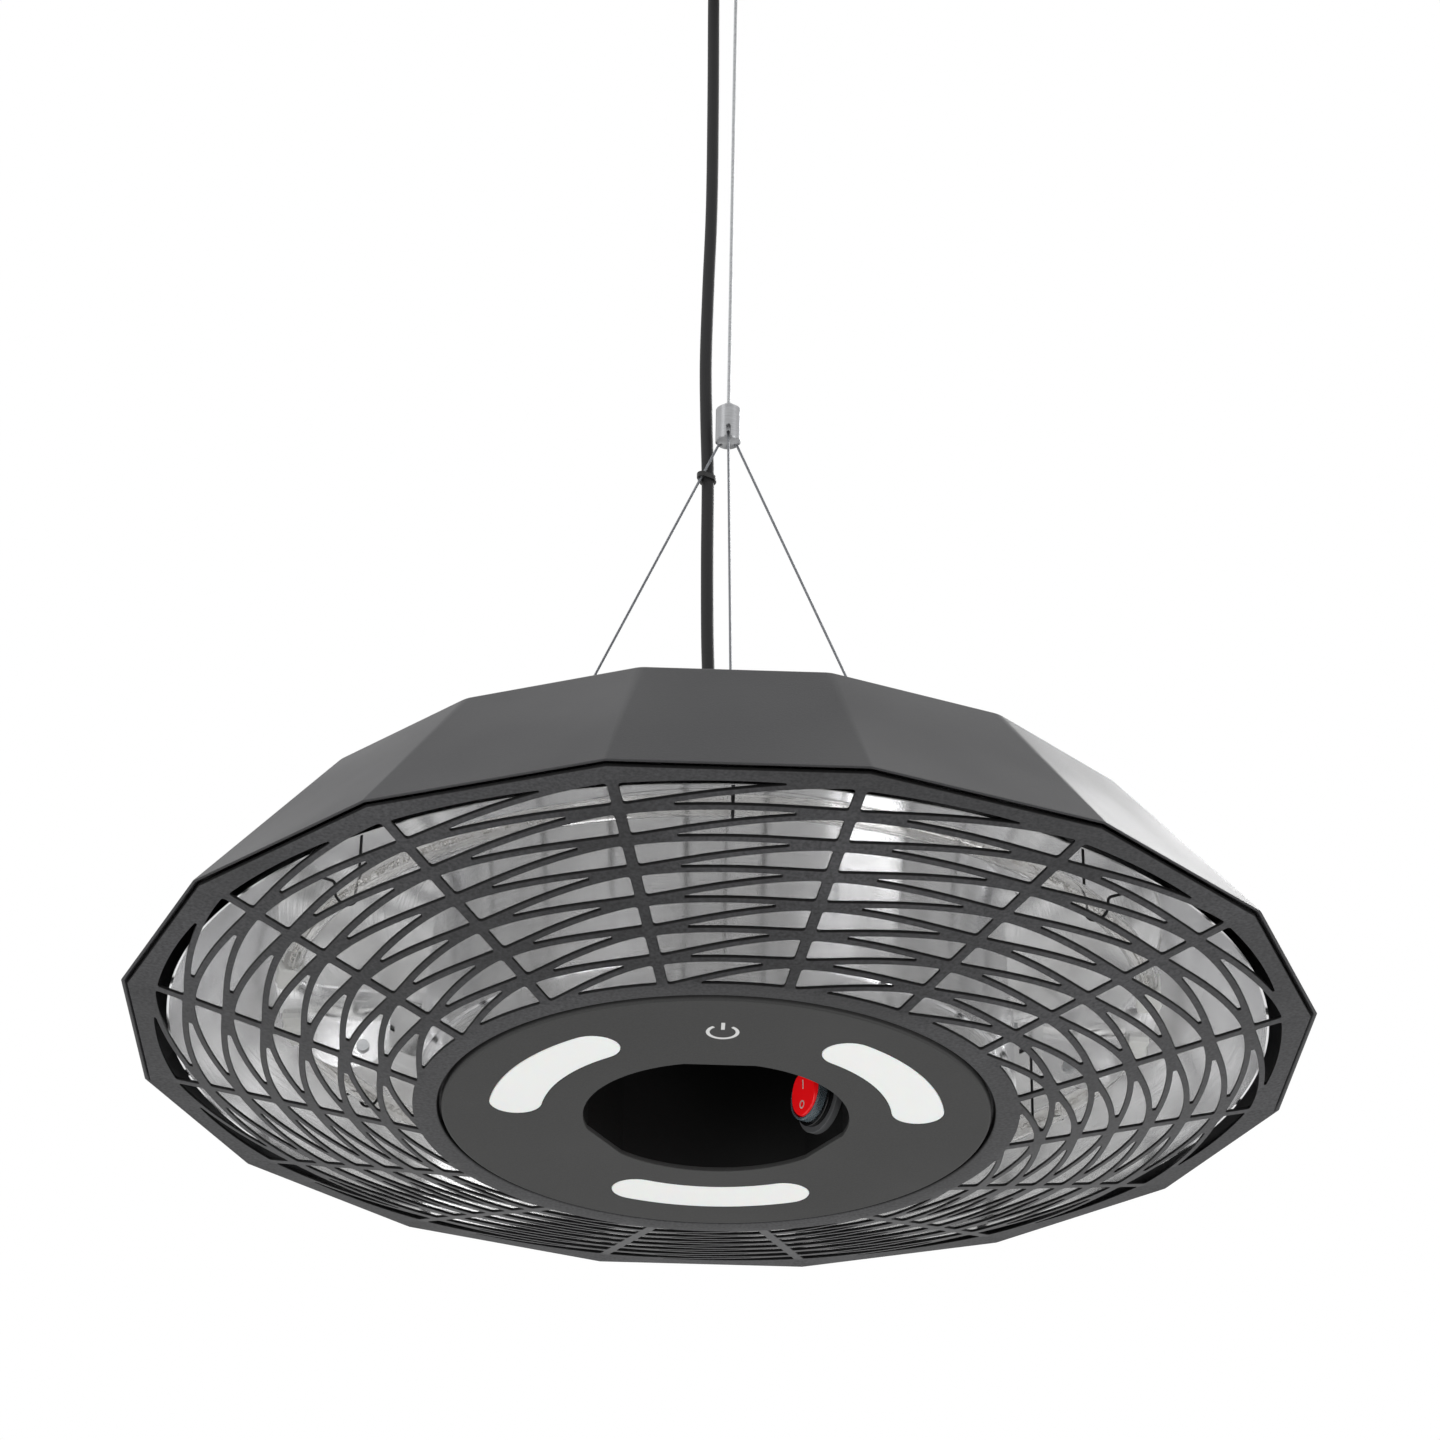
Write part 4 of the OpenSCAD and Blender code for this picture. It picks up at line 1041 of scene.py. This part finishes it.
def dish(r):
    """Height of the grille's upper face at a radius, with soft bends."""
    def bent(x, w):
        return 0.0 if x < -w else x if x > w else (x + w) ** 2 / (4 * w)
    return -DISH_SLOPE * (bent(DISH_R - r, 1.5) - bent(COLLAR_R - 1.5 - r, 1.2))


def sector_shell(edge):
    """One sector of the grille, from the middle of a rib to the middle of the next."""
    made = Shell()
    steps = edge_steps(edge, GRILLE_T)
    across = spread(0, SECTOR, 12)
    join_r = COLLAR_R - 5.5
    radii = [COLLAR_R - 2.7, COLLAR_R - 1.5, COLLAR_R - 0.3]
    while radii[-1] < DISH_R - 7:
        radii.append(radii[-1] + 5.2)
    radii += [DISH_R - 1.5, DISH_R, DISH_R + 1.5]
    holes = slots()

    def edge_line(back):
        return [polar((RING_FLAT - back) / cos(a - HALF), a) for a in across]

    def height(x, y):
        return dish(hypot(x, y)) - GRILLE_T

    for back, deep in (steps[0], steps[-1]):
        outer = [polar(join_r, a) for a in reversed(across)]
        outer += [polar(r, 0.0) for r in radii] + edge_line(back)
        outer += [polar(r, SECTOR) for r in reversed(radii)]
        made.skin(outer, [grown(hole, back) for hole in holes],
                  lambda x, y, d=deep: height(x, y) + d)
    for hole in holes:
        made.bands([[(x, y, height(x, y) + deep) for x, y in grown(hole, back)]
                    for back, deep in steps])
    made.bands([[(*p, deep - GRILLE_T) for p in edge_line(back)] for back, deep in steps],
               closed=False)
    # the collar's turned lip and the flange inside, turned through the sector
    lip = rounded([(join_r, COLLAR_Z - GRILLE_T), (LIP_R, COLLAR_Z - GRILLE_T),
                   (LIP_R, FLANGE_UNDER), (PLATE_R - 11.2, FLANGE_UNDER),
                   (PLATE_R - 11.2, FLANGE_TOP), (LIP_R + GRILLE_T, FLANGE_TOP),
                   (LIP_R + GRILLE_T, COLLAR_Z), (join_r, COLLAR_Z)], 1.6, 5, closed=False)
    made.bands([[polar(r, a, z) for a in across] for r, z in lip], closed=False)
    return made


class HEATER_OT_grille(bpy.types.Operator):
    """Makes the slotted grille from one sector, copied round the axis"""

    bl_idname = "heater.grille"
    bl_label = "Grille"

    def execute(self, context):
        look = context.scene.heater_body
        # cut=0.1 paints shade on the grille's slot walls and upright edges: they take a tenth of the coat's colour
        paint = powder_coat("Powder coat on the grille", look.grille_colour, 2 * look.grain,
                            cut=0.1, fleck=0.5)
        sector = piece("grille_sector", sector_shell(look.sheet_edge / MM), paint)
        angles = [(i + 0.5) * SECTOR for i in range(SIDES)]
        grille = copies_round("grille_pressing", sector, angles, paint, 0.004, 60)
        mark_level(grille)
        ride(grille, "grille_paint", "grille")
        return {"FINISHED"}


def well_loop(count=30):
    """The well's outline: a circle with three flats."""
    half = acos(WELL_FLAT / WELL_R)
    return anticlockwise([polar(WELL_R, a) for middle in LEGS for a in spread(
        radians(middle) + half, radians(middle + 120) - half, count)])


def window_loop(direction, grow=0.0, count=24):
    """A lamp window's outline: a bent slot with round ends."""
    d, r = radians(direction), WINDOW_W / 2 + grow
    out = []
    for side, lean in ((1, 0.0), (-1, pi)):
        last = d + side * WINDOW_HALF
        out += [polar(WINDOW_R + side * r, a) for a in spread(2 * d - last, last, count)]
        x, y = polar(WINDOW_R, last)
        out += [(x + r * cos(last + lean + b), y + r * sin(last + lean + b))
                for b in spread(0, pi, 16)[1:-1]]
    return out


def power_sign():
    """The printed power sign on the plate's near side: an open ring and a bar."""
    y, z, gap = -(WINDOW_R + 1.2), -39.385, radians(38)
    sign = Shell()
    sign.bands([[(r * cos(a), y + r * sin(a), z)
                 for a in spread(gap - pi / 2, 1.5 * pi - gap, 40)] for r in (6.23, 8.01)],
               closed=False)
    sign.add([(s * 0.9, y + off, z) for s, off in ((-1, -10.2), (1, -10.2), (1, -2.6),
                                                   (-1, -2.6))], [range(4)])
    return sign


def thin_print(name, shell, material, thick=0.02):
    """A printed mark as a thin closed layer, from its visible face upwards."""
    made = raw_piece(name, shell, material)
    with worked(made.data) as work:
        bmesh.ops.recalc_face_normals(work, faces=work.faces)
        if sum(f.normal.z * f.calc_area() for f in work.faces) > 0:
            bmesh.ops.reverse_faces(work, faces=work.faces)
        lifted = bmesh.ops.extrude_face_region(work, geom=list(work.faces))
        for v in (g for g in lifted["geom"] if isinstance(g, bmesh.types.BMVert)):
            v.co.z += thick * MM
        bmesh.ops.recalc_face_normals(work, faces=work.faces)
    return made


class HEATER_OT_plate(bpy.types.Operator):
    """Makes the lower plate, its three windows and the printed power sign"""

    bl_idname = "heater.plate"
    bl_label = "Lower plate"

    def execute(self, context):
        look = context.scene.heater_body
        paint = powder_coat("Matt powder coat on the lower plate", look.plate_colour,
                            look.grain, 0.58)
        lift, edge = 0.04, 0.35
        face = -PLATE_Z + lift
        outer = round_loop(PLATE_R, 192)
        holes = [well_loop(), *(window_loop(d) for d in WINDOWS)]
        made = Shell()
        for inset, z in ((1.5, face), (2.0, PLATE_TOP)):
            made.skin(grown(outer, -inset), [grown(hole, edge) for hole in holes], z)
        for hole in holes:
            made.bands([[(*p, face + deep) for p in grown(hole, back)]
                        for back, deep in edge_steps(edge, PLATE_T - lift)])
        rim = [(1.5, face), (0.9, face + 0.12), (0.4, face + 0.4), (0.12, face + 0.9),
               (0.0, face + 1.6), (0.0, FLANGE_UNDER), (2.0, FLANGE_UNDER), (2.0, PLATE_TOP)]
        made.bands([[(*p, z) for p in grown(outer, -back)] for back, z in rim])
        ride(piece("lower_plate_disc", made, paint, 50), "plate_paint", "lower_plate")
        frost = opal_window(look.window_colour)
        for i, direction in enumerate(WINDOWS, 1):
            steps = [(0.9, -PLATE_Z + 0.05), (0.4, -PLATE_Z + 0.14), (0.15, -PLATE_Z + 0.4),
                     (0.15, PLATE_TOP + 0.01), (-3.5, PLATE_TOP + 0.01), (-3.5, PLATE_TOP + 1)]
            rings = [[(*p, z) for p in window_loop(direction, -back)] for back, z in steps]
            shell = Shell()
            shell.bands(rings)
            for ring in (rings[0], rings[-1]):
                shell.skin(ring, [], ring[0][2])
            ride(piece(f"lamp_window_{i}", shell, frost, 50), "frosted", f"light_window_{i}")
        ink = moulded("Screen-printed ink", look.print_colour, 0.6)
        ride(thin_print("power_sign", power_sign(), ink), "plate_paint")
        return {"FINISHED"}


class HEATER_OT_reflector(bpy.types.Operator):
    """Makes the polished reflector channel"""

    bl_idname = "heater.reflector"
    bl_label = "Reflector"

    def execute(self, context):
        bright = rolled_aluminium("Bright rolled aluminium",
                                  context.scene.heater_lamps.aluminium)
        z, t, inner_r = REFLECTOR_Z, REFLECTOR_T, 148.2
        outside = rounded([(inner_r, z + t), (REFLECTOR_TOP, z + t), (REFLECTOR_LIP, -0.3)],
                          4.0, 6, closed=False)
        inside_line = rounded([(REFLECTOR_LIP - 1.3 * t, -0.3), (REFLECTOR_TOP - t, z),
                               (inner_r, z)], 4.0 - t, 6, closed=False)
        ride(piece("reflector_channel", lathe([*outside, *inside_line], 288), bright),
             "polished_aluminium", "reflector")
        wall = rounded([
            (150.0, -24.0), (146.0, z - t), (158.0, z - t), (158.0, z), (145.2, z),
            (149.2, -23.2), (147.2, -23.2), (147.2, COLLAR_Z + 0.3), (148.0, COLLAR_Z + 0.3),
            (148.0, -24.0)], 0.35, 2)
        ride(piece("reflector_inner", lathe(wall, 240), bright), "polished_aluminium",
             "reflector_inner_wall")
        return {"FINISHED"}


def arc_rings(r, start, end, steps=150, sides=24):
    """The rings of a tube along the lamp circle between two angles."""
    return [[polar(LAMP_R + r * cos(b), a, LAMP_Z + r * sin(b))
             for b in spread(0, 2 * pi, sides)[:-1]] for a in spread(start, end, steps)]


def caps_shell():
    """The four end caps: each a pressed ceramic block that necks down to a flat pinch."""
    stations = (  # share of the run from the tube's side, half width, half height, corner
        (0.0, 5.6, 5.6, 2.4), (0.02, 6.2, 6.2, 2.2), (0.05, 6.45, 6.45, 2.0),
        (0.58, 6.45, 6.45, 1.6), (0.62, 6.2, 6.1, 1.6), (0.645, 5.7, 5.2, 1.4),
        (0.665, 5.4, 4.2, 1.2), (0.7, 5.35, 3.92, 1.1), (0.95, 5.45, 3.95, 1.1),
        (0.985, 5.2, 3.7, 1.1), (1.0, 4.8, 3.3, 1.1),
    )
    rings = []
    for share, w, h, corner in stations:
        a = TUBE_START + (CAP_START - TUBE_START) * share
        loop = rounded([(w, h), (-w, h), (-w, -h), (w, -h)], corner)
        rings.append([polar(LAMP_R + x, a, LAMP_Z + z) for x, z in loop])
    made = Shell()
    for sx, sy in ((1, 1), (1, -1), (-1, -1), (-1, 1)):
        made.bands([[(sx * x, sy * y, z) for x, y, z in ring] for ring in rings], lids=True)
    return made


class HEATER_OT_lamps(bpy.types.Operator):
    """Makes the quartz lamps: tubes, wound heating coils and ceramic caps"""

    bl_idname = "heater.lamps"
    bl_label = "Lamps"

    def execute(self, context):
        look = context.scene.heater_lamps
        glass, coil = quartz_glass(), coil_tree()
        wire = plain_metal("Bare heating wire", look.coil_colour, 0.24, 0.0004)
        for name, turn in (("near", pi), ("far", 0.0)):
            start, end = turn + TUBE_START, turn + pi - TUBE_START
            rings = [*arc_rings(TUBE_OUT, start, end), *arc_rings(TUBE_IN, start, end)[::-1]]
            made = Shell()
            made.bands([*rings, rings[0]])
            ride(piece(f"quartz_tube_{name}", made, glass), "quartz", f"lamp_tube_{name}")
            path = [polar(LAMP_R, a, LAMP_Z) for a in spread(start, end, 240)]
            wound = wound_piece(f"heating_wire_{name}", path, coil, {
                "Pitch": look.coil_pitch, "Coil Radius": COIL_R * MM,
                "Wire Radius": look.coil_wire / 2, "Step": look.coil_pitch / 12,
                "Material": wire})
            ride(wound, "coil_metal", f"heating_coil_{name}")
        ride(piece("ceramic_caps", caps_shell(), pressed_ceramic(look.ceramic), 40),
             "ceramic", "lamp_caps")
        return {"FINISHED"}


class HEATER_OT_lamp_fittings(bpy.types.Operator):
    """Makes the wire hooks and finishes the brackets that hold the lamps"""

    bl_idname = "heater.lamp_fittings"
    bl_label = "Lamp fittings"

    def execute(self, context):
        black = moulded("Black oxide spring wire", "#1f1f20", 0.4, Metallic=0.6)
        bright = rolled_aluminium("Bright bracket sheet", context.scene.heater_lamps.aluminium,
                                  0.2)
        steel = plain_metal("Zinc-plated steel", "#c4c6c8")
        hook, top = 5.5 + HOOK_WIRE + 0.05, REFLECTOR_Z - HOOK_WIRE
        clips = []
        for side, angles in ((1, (35, 90, -147)), (-1, (147, -35, -90))):
            path = [(LAMP_R - hook, 9 * side, top), (LAMP_R - hook, 0, top)]
            path += [(LAMP_R - hook * cos(b), 0, LAMP_Z - hook * sin(b))
                     for b in spread(0, pi, 18)]
            path += [(LAMP_R + hook, 0, LAMP_Z + 4), (LAMP_R + hook + 9, 0, LAMP_Z + 4)]
            line = rounded(path, 2.0, 6, closed=False)
            one = piece("clip", tube(line, HOOK_WIRE - 0.01), black)
            clips.append(copies_round("lamp_hooks", one, [radians(a) for a in angles], black))
        ride(joined(*clips), "black_wire", "lamp_clips")
        for side in ("left", "right"):
            refined(f"lamp_bracket_{side}", bright, "polished_aluminium")
        for node in ("bracket_screws", "anchor_nuts"):
            refined(node, steel, "steel")
        coat(steel, "reflector_posts", "grille_screws", "tray_screws")
        return {"FINISHED"}


def in_frame(shell, matrix):
    """Moves a shell's points from a local frame to the heater's."""
    shell.points = [tuple(matrix @ Vector(p)) for p in shell.points]
    return shell


def turned_x(profile):
    """A shell turned round the x axis from an outline of reach along x and radius."""
    made = lathe([(r, x) for x, r in profile])
    made.points = [(z, x, y) for x, y, z in made.points]
    return made


def rocker_face(z):
    """How far the rocker's hollowed face stands out at a height."""
    return max(-5.0, sqrt(60**2 - z * z) - 64.4)


def rocker_shell():
    """The rocker: a hollowed face, a ball-shaped side and its pin, in the rocker's frame."""
    ball, edge = ROCKER_R - 0.02, 0.7
    angles = spread(0, 2 * pi, 72)[:-1]

    def round_at(x):
        return sqrt(ball * ball - x * x)

    faces = [rocker_face(10.9 * sin(a)) for a in angles]
    limits = [(a, round_at(x), x) for a, x in zip(angles, faces)]
    rings = []
    for share in (0.15, 0.35, 0.55, 0.75, 0.9, 1.0):
        rings.append([(rocker_face((r - edge) * share * sin(a)), (r - edge) * share * cos(a),
                       (r - edge) * share * sin(a)) for a, r, x in limits])
    for inset, deep in ((0.32, 0.08), (0.1, 0.26), (0.0, 0.6)):
        rings.append([(x + deep, (round_at(x + deep) - inset) * cos(a),
                       (round_at(x + deep) - inset) * sin(a)) for a, r, x in limits])
    for x in (-3.2, -2.0, -0.8, 0.4, 1.4, 1.98):
        rings.append([(x, *polar(round_at(x), a)) for a in angles])
    made = Shell()
    made.bands(rings, lids=True)
    pin = tube([(0.0, -12.95, 0.0), (0.0, 12.95, 0.0)], PIN_R - 0.01, 20)
    made.add(pin.points, pin.faces)
    return made


def rocker_sign(*loops):
    """One printed sign on the rocker's hollowed face, as a thin closed layer inside an
    outline, and round a hole where there are two."""
    made = Shell()
    front, back = ([[(rocker_face(z) - lift, y, z) for y, z in loop] for loop in loops]
                   for lift in (0.012, -0.01))
    if len(loops) > 1:
        made.bands([front[1], front[0], back[0], back[1], front[1]])
    else:
        made.bands([front[0], back[0]], lids=True)
    return made


class HEATER_OT_switch(bpy.types.Operator):
    """Makes the well and the round rocker switch in its wall"""

    bl_idname = "heater.switch"
    bl_label = "Switch"

    def execute(self, context):
        look = context.scene.heater_switch
        coat(moulded("Matt black sheet of the well", "#050505", 0.6,
                     **{"Specular IOR Level": 0.2}), "well_tube")
        refined("switch_boss", moulded("Moulded grey boss", look.boss_colour, 0.5),
                "grey_plastic", 0.5)
        body = turned_x(rounded([
            (53.5, 13.0), (53.5, 12.0), (60.9, 12.0), (60.9, 0.3), (86.9, 0.3), (86.9, 10.0),
            (60.5, 10.0), (60.5, 15.8), (57.5, 15.8), (57.5, 13.0)], 0.5, 3))
        for y in (-5, 0, 5):  # the three tabs at its back
            body.bands([[(x, y + s, z) for s, z in ((-0.4, -2.4), (0.4, -2.4), (0.4, 2.4),
                                                    (-0.4, 2.4))]
                        for x in (86.5, 95.5)], lids=True)
        black = moulded("Moulded black nylon", "#0f0f10", 0.2)
        ride(piece("switch_housing", in_frame(body, SWITCH_FRAME), black, 40),
             "black_plastic", "switch_body")
        boot = turned_x(rounded([(52.72, 12.35), (52.72, 13.3), (53.5, 13.88), (57.44, 13.88),
                                 (57.44, 13.07), (53.5, 13.07), (53.5, 12.35)], 0.3, 3))
        ride(piece("switch_boot", in_frame(boot, SWITCH_FRAME),
                   clear_silicone(look.boot_colour), 50), "clear_seal", "switch_seal")
        # The emission paints a glow into the red rocker; no lamp lights it
        red = moulded("Moulded red rocker", look.rocker_colour, 0.2, 0.0012,
                      **{"Subsurface Weight": 0.3, "Subsurface Scale": 0.003,
                         "Emission Color": rgba(look.rocker_colour), "Emission Strength": 0.3})
        rocker = piece("rocker_moulding", in_frame(rocker_shell(), ROCKER_FRAME), red, 50)
        ride(rocker, "red_rocker", "switch_rocker", body="rocker")
        white = moulded("Printed white on the rocker", "#e9e6e2", 0.5)
        on = rocker_sign([(-0.45, 2.8), (0.45, 2.8), (0.45, 7.3), (-0.45, 7.3)])
        off = rocker_sign(*(round_loop(r, 40, (0, -5.2)) for r in (2.2, 1.45)))
        for name, sign in (("rocker_sign_on", on), ("rocker_sign_off", off)):
            ride(piece(name, in_frame(sign, ROCKER_FRAME), white), "red_rocker", body="rocker")
        return {"FINISHED"}


class HEATER_OT_hanging(bpy.types.Operator):
    """Makes the steel rope, the leg wires, the gripper and the anchors"""

    bl_idname = "heater.hanging"
    bl_label = "Suspension"

    def execute(self, context):
        look = context.scene.heater_hanging
        bright = plain_metal("Bright galvanised strand", look.rope_colour, 0.28)
        dull = plain_metal("Dull galvanised strand", look.wire_colour, 0.36)
        tree = strand_tree()
        rope = wound_piece("main_rope_strands", [(0, 0, 370.5), (0, 0, DROP - 31)], tree, {
            "Lay": look.rope_lay, "Strands": look.strands, "Strand Radius": 0.33 * MM,
            "Ring Radius": 0.66 * MM, "Step": 0.8 * MM, "Material": bright})
        ride(rope, "steel_rope", "main_rope")
        for i, a in enumerate(LEGS, 1):
            low = Vector(polar(ANCHOR_R, radians(a), LEG_LOW_Z))
            top = Vector(polar(LEG_TOP_R, radians(a), LEG_TOP_Z))
            low += (top - low).normalized() * 4
            wire = wound_piece(f"leg_wire_strands_{i}", [low, top], tree, {
                "Lay": look.wire_lay, "Strands": look.strands, "Strand Radius": 0.245 * MM,
                "Ring Radius": 0.49 * MM, "Step": 0.9 * MM, "Material": dull})
            ride(wire, "steel_rope", f"leg_wire_{i}")
        nickel = plain_metal("Nickel-plated brass", "#b3b4b6", 0.42, turned=0.9)
        refined("gripper_body", nickel, "nickel", 0.2)
        refined("gripper_plunger", nickel, "nickel", 0.2, body="plunger")
        refined("rope_coupler", nickel, "nickel", 0.4)
        anchors = moulded("Black oxide anchors", "#222223", 0.4, Metallic=0.5)
        refined("wire_anchors", anchors, "black_wire", 0.3)
        return {"FINISHED"}


class HEATER_OT_ceiling(bpy.types.Operator):
    """Finishes the ceiling plate, its cover cup and the cord glands"""

    bl_idname = "heater.ceiling"
    bl_label = "Ceiling fitting"

    def execute(self, context):
        look = context.scene.heater_body
        zinc = plain_metal("Zinc-plated ceiling plate", "#b9bbbd", 0.4)
        refined("ceiling_plate", zinc, "steel", 0.3)
        cup = powder_coat("Powder coat on the ceiling cup", look.shade_colour, look.grain)
        refined("ceiling_cup", cup, "shade_paint", 0.5)
        black = moulded("Black nylon glands", "#1a1a1a", 0.4)
        for node in ("ceiling_gland", "housing_gland", "gland_nut"):
            refined(node, black, "black_plastic", 0.3)
        coat(moulded("Cream terminal block", "#d8d2c0", 0.5), "ceiling_terminal",
             "mains_terminal")
        return {"FINISHED"}


class HEATER_OT_controls(bpy.types.Operator):
    """Finishes the controls on the tray inside the drum"""

    bl_idname = "heater.controls"
    bl_label = "Controls"

    def execute(self, context):
        coat(plain_metal("Bare folded sheet", "#a4a6a8", 0.45, 0.001), "core_drum",
             "control_tray")
        coat(moulded("Green solder mask", "#2e5d3a", 0.35), "control_board")
        coat(moulded("White solder mask", "#f2f2ee", 0.5), "light_board")
        coat(plain_metal("Turned brass", "#c9a24b", 0.3), "board_spacers")
        coat(moulded("Black relay cases", "#1c1c1c", 0.4), "relays", "touch_sensor")
        coat(moulded("White driver case", "#e6e6e2", 0.5), "lamp_driver")
        return {"FINISHED"}


def seen_rays(tree):
    """1 for the camera's rays and those that metal and glass send on, 0 for the rest."""
    rays = add(tree, "ShaderNodeLightPath").outputs
    seen = add(tree, "ShaderNodeMath", {0: rays["Is Camera Ray"], 1: rays["Is Glossy Ray"]},
               operation="MAXIMUM")
    return add(tree, "ShaderNodeMath", {0: seen, 1: rays["Is Transmission Ray"]},
               operation="MAXIMUM")


def studio_floor():
    """Pale matt floor that keeps the shadow and turns into the white background further out,
    so that no edge of it shows. From below it is clear, so that the heater shows there too."""
    made, tree = blank("Pale studio floor")
    pale = add(tree, "ShaderNodeBsdfPrincipled",
               {"Base Color": rgba(linear("#efefed")), "Roughness": 0.8})
    place = add(tree, "ShaderNodeTexCoord").outputs["Object"]
    away = add(tree, "ShaderNodeVectorMath", {0: place, 1: (0.0, 0.0, FLOOR)},
               operation="DISTANCE").outputs["Value"]
    fade = add(tree, "ShaderNodeMapRange", {"Value": away, "From Min": 0.8, "From Max": 5.0},
               interpolation_type="SMOOTHSTEP")
    share = add(tree, "ShaderNodeMath", {0: seen_rays(tree), 1: fade}, operation="MULTIPLY")
    white = add(tree, "ShaderNodeEmission", {"Color": rgba(1.0), "Strength": 1.0})
    above = add(tree, "ShaderNodeMixShader", {0: share, 1: pale, 2: white})
    below = add(tree, "ShaderNodeNewGeometry").outputs["Backfacing"]
    clear = add(tree, "ShaderNodeBsdfTransparent")
    sided = add(tree, "ShaderNodeMixShader", {0: below, 1: above, 2: clear})
    add(tree, "ShaderNodeOutputMaterial", {"Surface": sided})
    return made


class HEATER_OT_stage(bpy.types.Operator):
    """Makes the pale floor, the white surroundings and the studio light"""

    bl_idname = "heater.stage"
    bl_label = "Stage"

    def execute(self, context):
        mesh = bpy.data.meshes.new("floor")
        mesh.from_pydata([(*p, FLOOR) for p in round_loop(9.0, 64)], [], [range(64)])
        mesh.materials.append(studio_floor())
        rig.stage(placed("floor", mesh))
        world = bpy.data.worlds.new("Studio")
        context.scene.world = world
        world.use_nodes = True
        tree = world.node_tree
        tree.nodes.clear()
        strength = add(tree, "ShaderNodeMapRange",
                       {"Value": seen_rays(tree), "To Min": 0.62, "To Max": 1.0})
        sky = add(tree, "ShaderNodeBackground", {"Color": rgba(1.0), "Strength": strength})
        add(tree, "ShaderNodeOutputWorld", {"Surface": sky})
        for name, place, size, power in (
            ("Key", (1.6, 1.9, 1.0), 1.2, 32.0),
            ("Fill", (-2.2, -2.0, -1.2), 1.4, 26.0),
            ("Under", (1.9, -1.1, -2.3), 1.2, 26.0),
        ):
            data = bpy.data.lights.new(name, "AREA")
            data.size = size
            data.energy = power
            aim = Vector((0, 0, -0.72)) - Vector(place)
            placed(name, data).matrix_world = (
                Matrix.Translation(place) @ aim.to_track_quat("-Z", "Y").to_matrix().to_4x4())
        context.scene.view_settings.view_transform = "Standard"
        return {"FINISHED"}


STEPS = (
    HEATER_OT_camera, HEATER_OT_cord, HEATER_OT_shade, HEATER_OT_grille, HEATER_OT_plate,
    HEATER_OT_reflector, HEATER_OT_lamps, HEATER_OT_lamp_fittings, HEATER_OT_switch,
    HEATER_OT_hanging, HEATER_OT_ceiling, HEATER_OT_controls, HEATER_OT_stage,
)
GROUPS = {
    "heater_body": HeaterBodySettings,
    "heater_lamps": HeaterLampSettings,
    "heater_switch": HeaterSwitchSettings,
    "heater_hanging": HeaterHangingSettings,
}


class HEATER_PT_panel(bpy.types.Panel):
    """Lists the heater's settings and its pieces"""

    bl_idname = "HEATER_PT_panel"
    bl_label = "Ceiling heater"
    bl_space_type = "VIEW_3D"
    bl_region_type = "UI"
    bl_category = "Heater"

    def draw(self, context):
        for group in GROUPS:
            held = getattr(context.scene, group)
            box = self.layout.box()
            for name in held.__annotations__:
                box.prop(held, name)
        for step in STEPS:
            self.layout.operator(step.bl_idname)


def register():
    for held in (*GROUPS.values(), *STEPS, HEATER_PT_panel):
        bpy.utils.register_class(held)
    for name, held in GROUPS.items():
        setattr(bpy.types.Scene, name, PointerProperty(type=held))


def unregister():
    for name in GROUPS:
        delattr(bpy.types.Scene, name)
    for held in (HEATER_PT_panel, *reversed(STEPS), *GROUPS.values()):
        bpy.utils.unregister_class(held)


def main():
    """Makes every piece in order and writes both boxes."""
    register()
    for step in STEPS:
        group, name = step.bl_idname.split(".")
        getattr(getattr(bpy.ops, group), name)()
    with open("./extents.json", "w") as held:
        json.dump({"cad": CAD_BOX, "visual": [list(corner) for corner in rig.bounds()]}, held)


if __name__ == "__main__":
    main()
